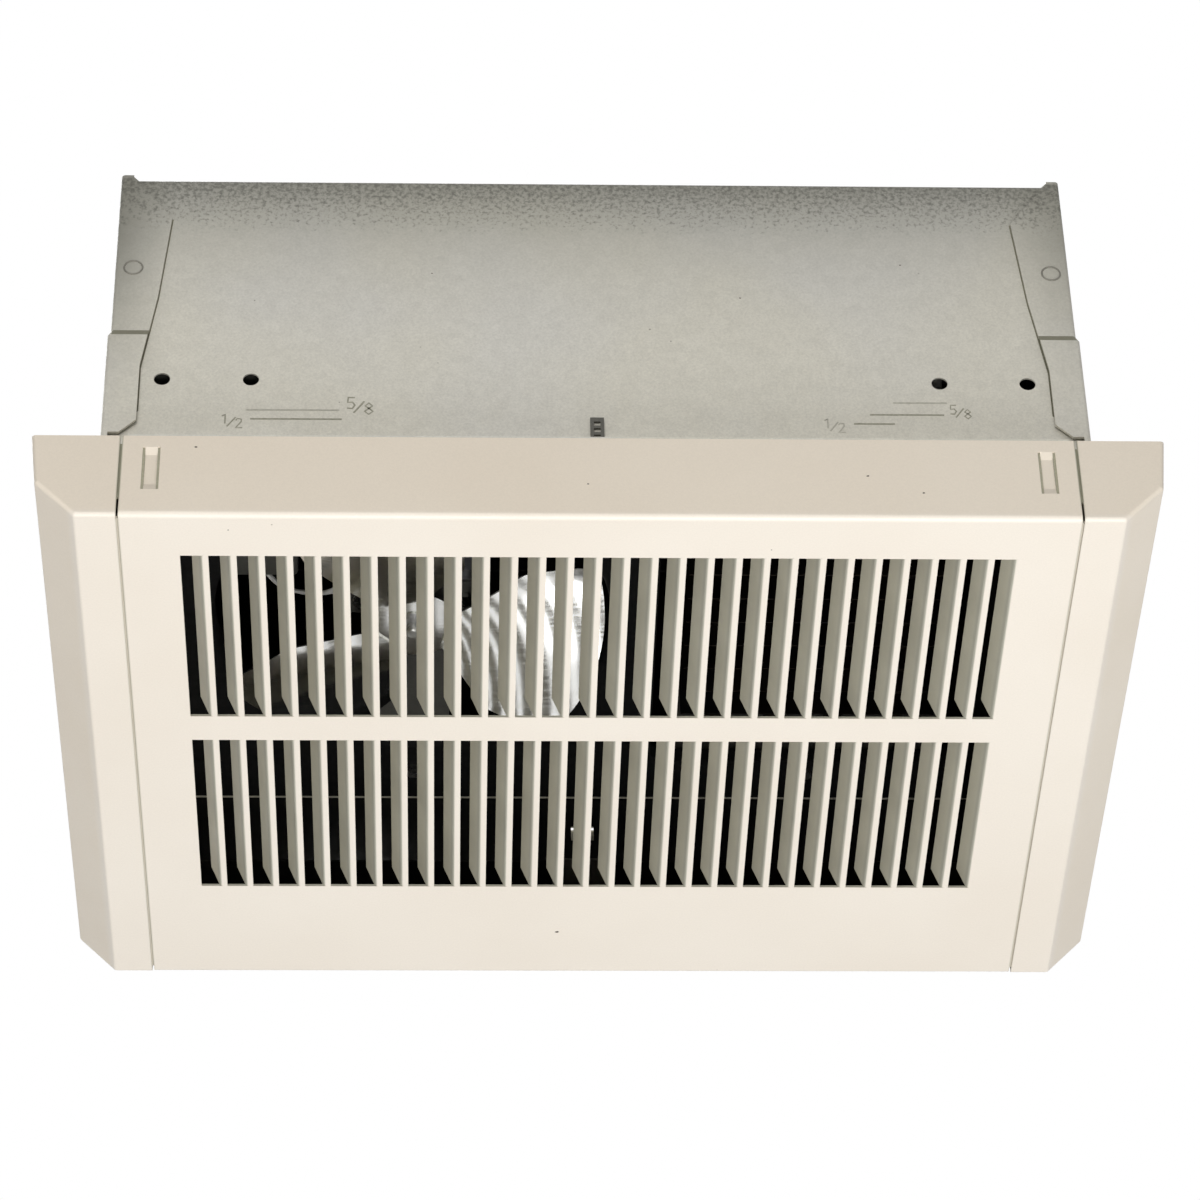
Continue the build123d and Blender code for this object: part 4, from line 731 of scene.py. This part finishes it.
def speck(name, centre, up, out, size, body):
    """A small uneven crumb on a surface, domed outwards."""
    vertices = []
    for share, rise in speck_rings:
        for side in range(speck_sides):
            turn = math.tau * side / speck_sides
            reach = size * share * random.uniform(0.7, 1.2)
            offset = x_way * math.cos(turn) * speck_stretch + up * math.sin(turn)
            vertices.append(Vector(centre) + offset * reach + out * rise * size)
    ring = range(speck_sides)
    faces = [tuple(ring), tuple(speck_sides + side for side in reversed(ring))]
    for side in ring:
        after = (side + 1) % speck_sides
        faces.append((side, after, speck_sides + after, speck_sides + side))
    add_piece(name, vertices, faces, speck_finish, body)


for number, (x, y, size) in enumerate(face_specks, 1):
    centre = (x * MM, y * MM, 0)
    speck(f"face_speck_{number}", centre, y_way, -z_way, size * MM, "grille")
for number, (x, z, size) in enumerate(flange_specks, 1):
    centre = (x * MM, -panel_high.y, z * MM)
    speck(f"flange_speck_{number}", centre, z_way, -y_way, size * MM, "grille")
for number, (x, z, size) in enumerate(wall_specks, 1):
    centre = (x * MM, -wall_y, z * MM)
    speck(f"wall_speck_{number}", centre, z_way, -y_way, size * MM, "box")


# Surroundings: a pale floor well below the object, and white all round
def seen_rays(tree):
    """One for rays that show the surroundings: the camera's, reflected and passed through."""
    path = tree.nodes.new("ShaderNodeLightPath")
    seen = path.outputs["Is Camera Ray"]
    for ray in ("Is Glossy Ray", "Is Transmission Ray"):
        either = tree.nodes.new("ShaderNodeMath")
        either.operation = "MAXIMUM"
        tree.links.new(seen, either.inputs[0])
        tree.links.new(path.outputs[ray], either.inputs[1])
        seen = either.outputs[0]
    return seen


floor_half = 4.5
floor_z = -1.6
floor_glow = 0.6
floor_mesh = bpy.data.meshes.new("floor")
floor_corners = ((-1, -1), (1, -1), (1, 1), (-1, 1))
floor_mesh.from_pydata([(x * floor_half, y * floor_half, 0) for x, y in floor_corners], [], [(0, 1, 2, 3)])
floor_shade = Shade("floor_paint", 0.8)
floor_tones = [(0.3, (0.80, 0.80, 0.79)), (0.7, (0.83, 0.83, 0.82))]
floor_shade.color(floor_shade.ramp(floor_shade.noise(3.0), floor_tones))
floor_emission = floor_shade.times(seen_rays(floor_shade.tree), floor_glow)
floor_shade.shader.inputs["Emission Color"].default_value = (1, 1, 1, 1)
floor_shade.join(floor_emission, floor_shade.shader.inputs["Emission Strength"])
floor_mesh.materials.append(floor_shade.material)
floor = bpy.data.objects.new("floor", floor_mesh)
floor.location = (0, 0, floor_z)
bpy.context.scene.collection.objects.link(floor)

ambient_level = 0.2
world = bpy.data.worlds.new("world")
bpy.context.scene.world = world
world.use_nodes = True
tree = world.node_tree
background = tree.nodes["Background"]
background.inputs["Color"].default_value = (1, 1, 1, 1)
strength = tree.nodes.new("ShaderNodeMapRange")
strength.inputs[3].default_value = ambient_level
strength.inputs[4].default_value = 1.0
tree.links.new(seen_rays(tree), strength.inputs[0])
tree.links.new(strength.outputs[0], background.inputs["Strength"])

# Soft lights, each a name, a place, a size, a power in watts and a colour
light_target = Vector((0, 0, 0.08))
white = (1.0, 1.0, 1.0)
warm_white = (1.0, 0.97, 0.93)
for name, place, size, watts, color in (
    ("key", (0.15, -0.66, -1.40), 0.9, 18.0, white),
    ("glint", (0.19, 0.12, -1.35), 0.5, 1.6, white),
    ("front_fill", (-0.5, -2.2, 0.1), 1.2, 15.5, warm_white),
    ("top_fill", (-0.5, 0.9, 1.5), 1.2, 24.0, white),
):
    light = bpy.data.lights.new(name, "AREA")
    light.shape = "SQUARE"
    light.size = size
    light.energy = watts
    light.color = color
    lamp = bpy.data.objects.new(name, light)
    lamp.location = place
    lamp.rotation_euler = (light_target - Vector(place)).to_track_quat("-Z", "Y").to_euler()
    bpy.context.scene.collection.objects.link(lamp)

# Camera, at the photograph's angle
camera_place = Vector((-51.5, -1323.7, -1040.8)) * MM
camera_yaw = math.radians(2.4178795)
camera_pitch = math.radians(40.15775329)
camera_roll = math.radians(-1.30171453)
focal_pixels = 4543.1
photo_pixels = 1200
sensor = 36.0
camera_data = bpy.data.cameras.new("camera")
camera_data.sensor_fit = "HORIZONTAL"
camera_data.sensor_width = sensor
camera_data.lens = focal_pixels * sensor / photo_pixels
camera_data.clip_start = 0.05
camera_data.clip_end = 50.0
camera = bpy.data.objects.new("camera", camera_data)
camera_turn = (
    Matrix.Rotation(-camera_yaw, 4, "Z")
    @ Matrix.Rotation(math.pi / 2 + camera_pitch, 4, "X")
    @ Matrix.Rotation(camera_roll, 4, "Z")
)
camera.matrix_world = Matrix.Translation(camera_place) @ camera_turn
bpy.context.scene.collection.objects.link(camera)
bpy.context.scene.camera = camera

bpy.context.scene.view_settings.view_transform = "Standard"
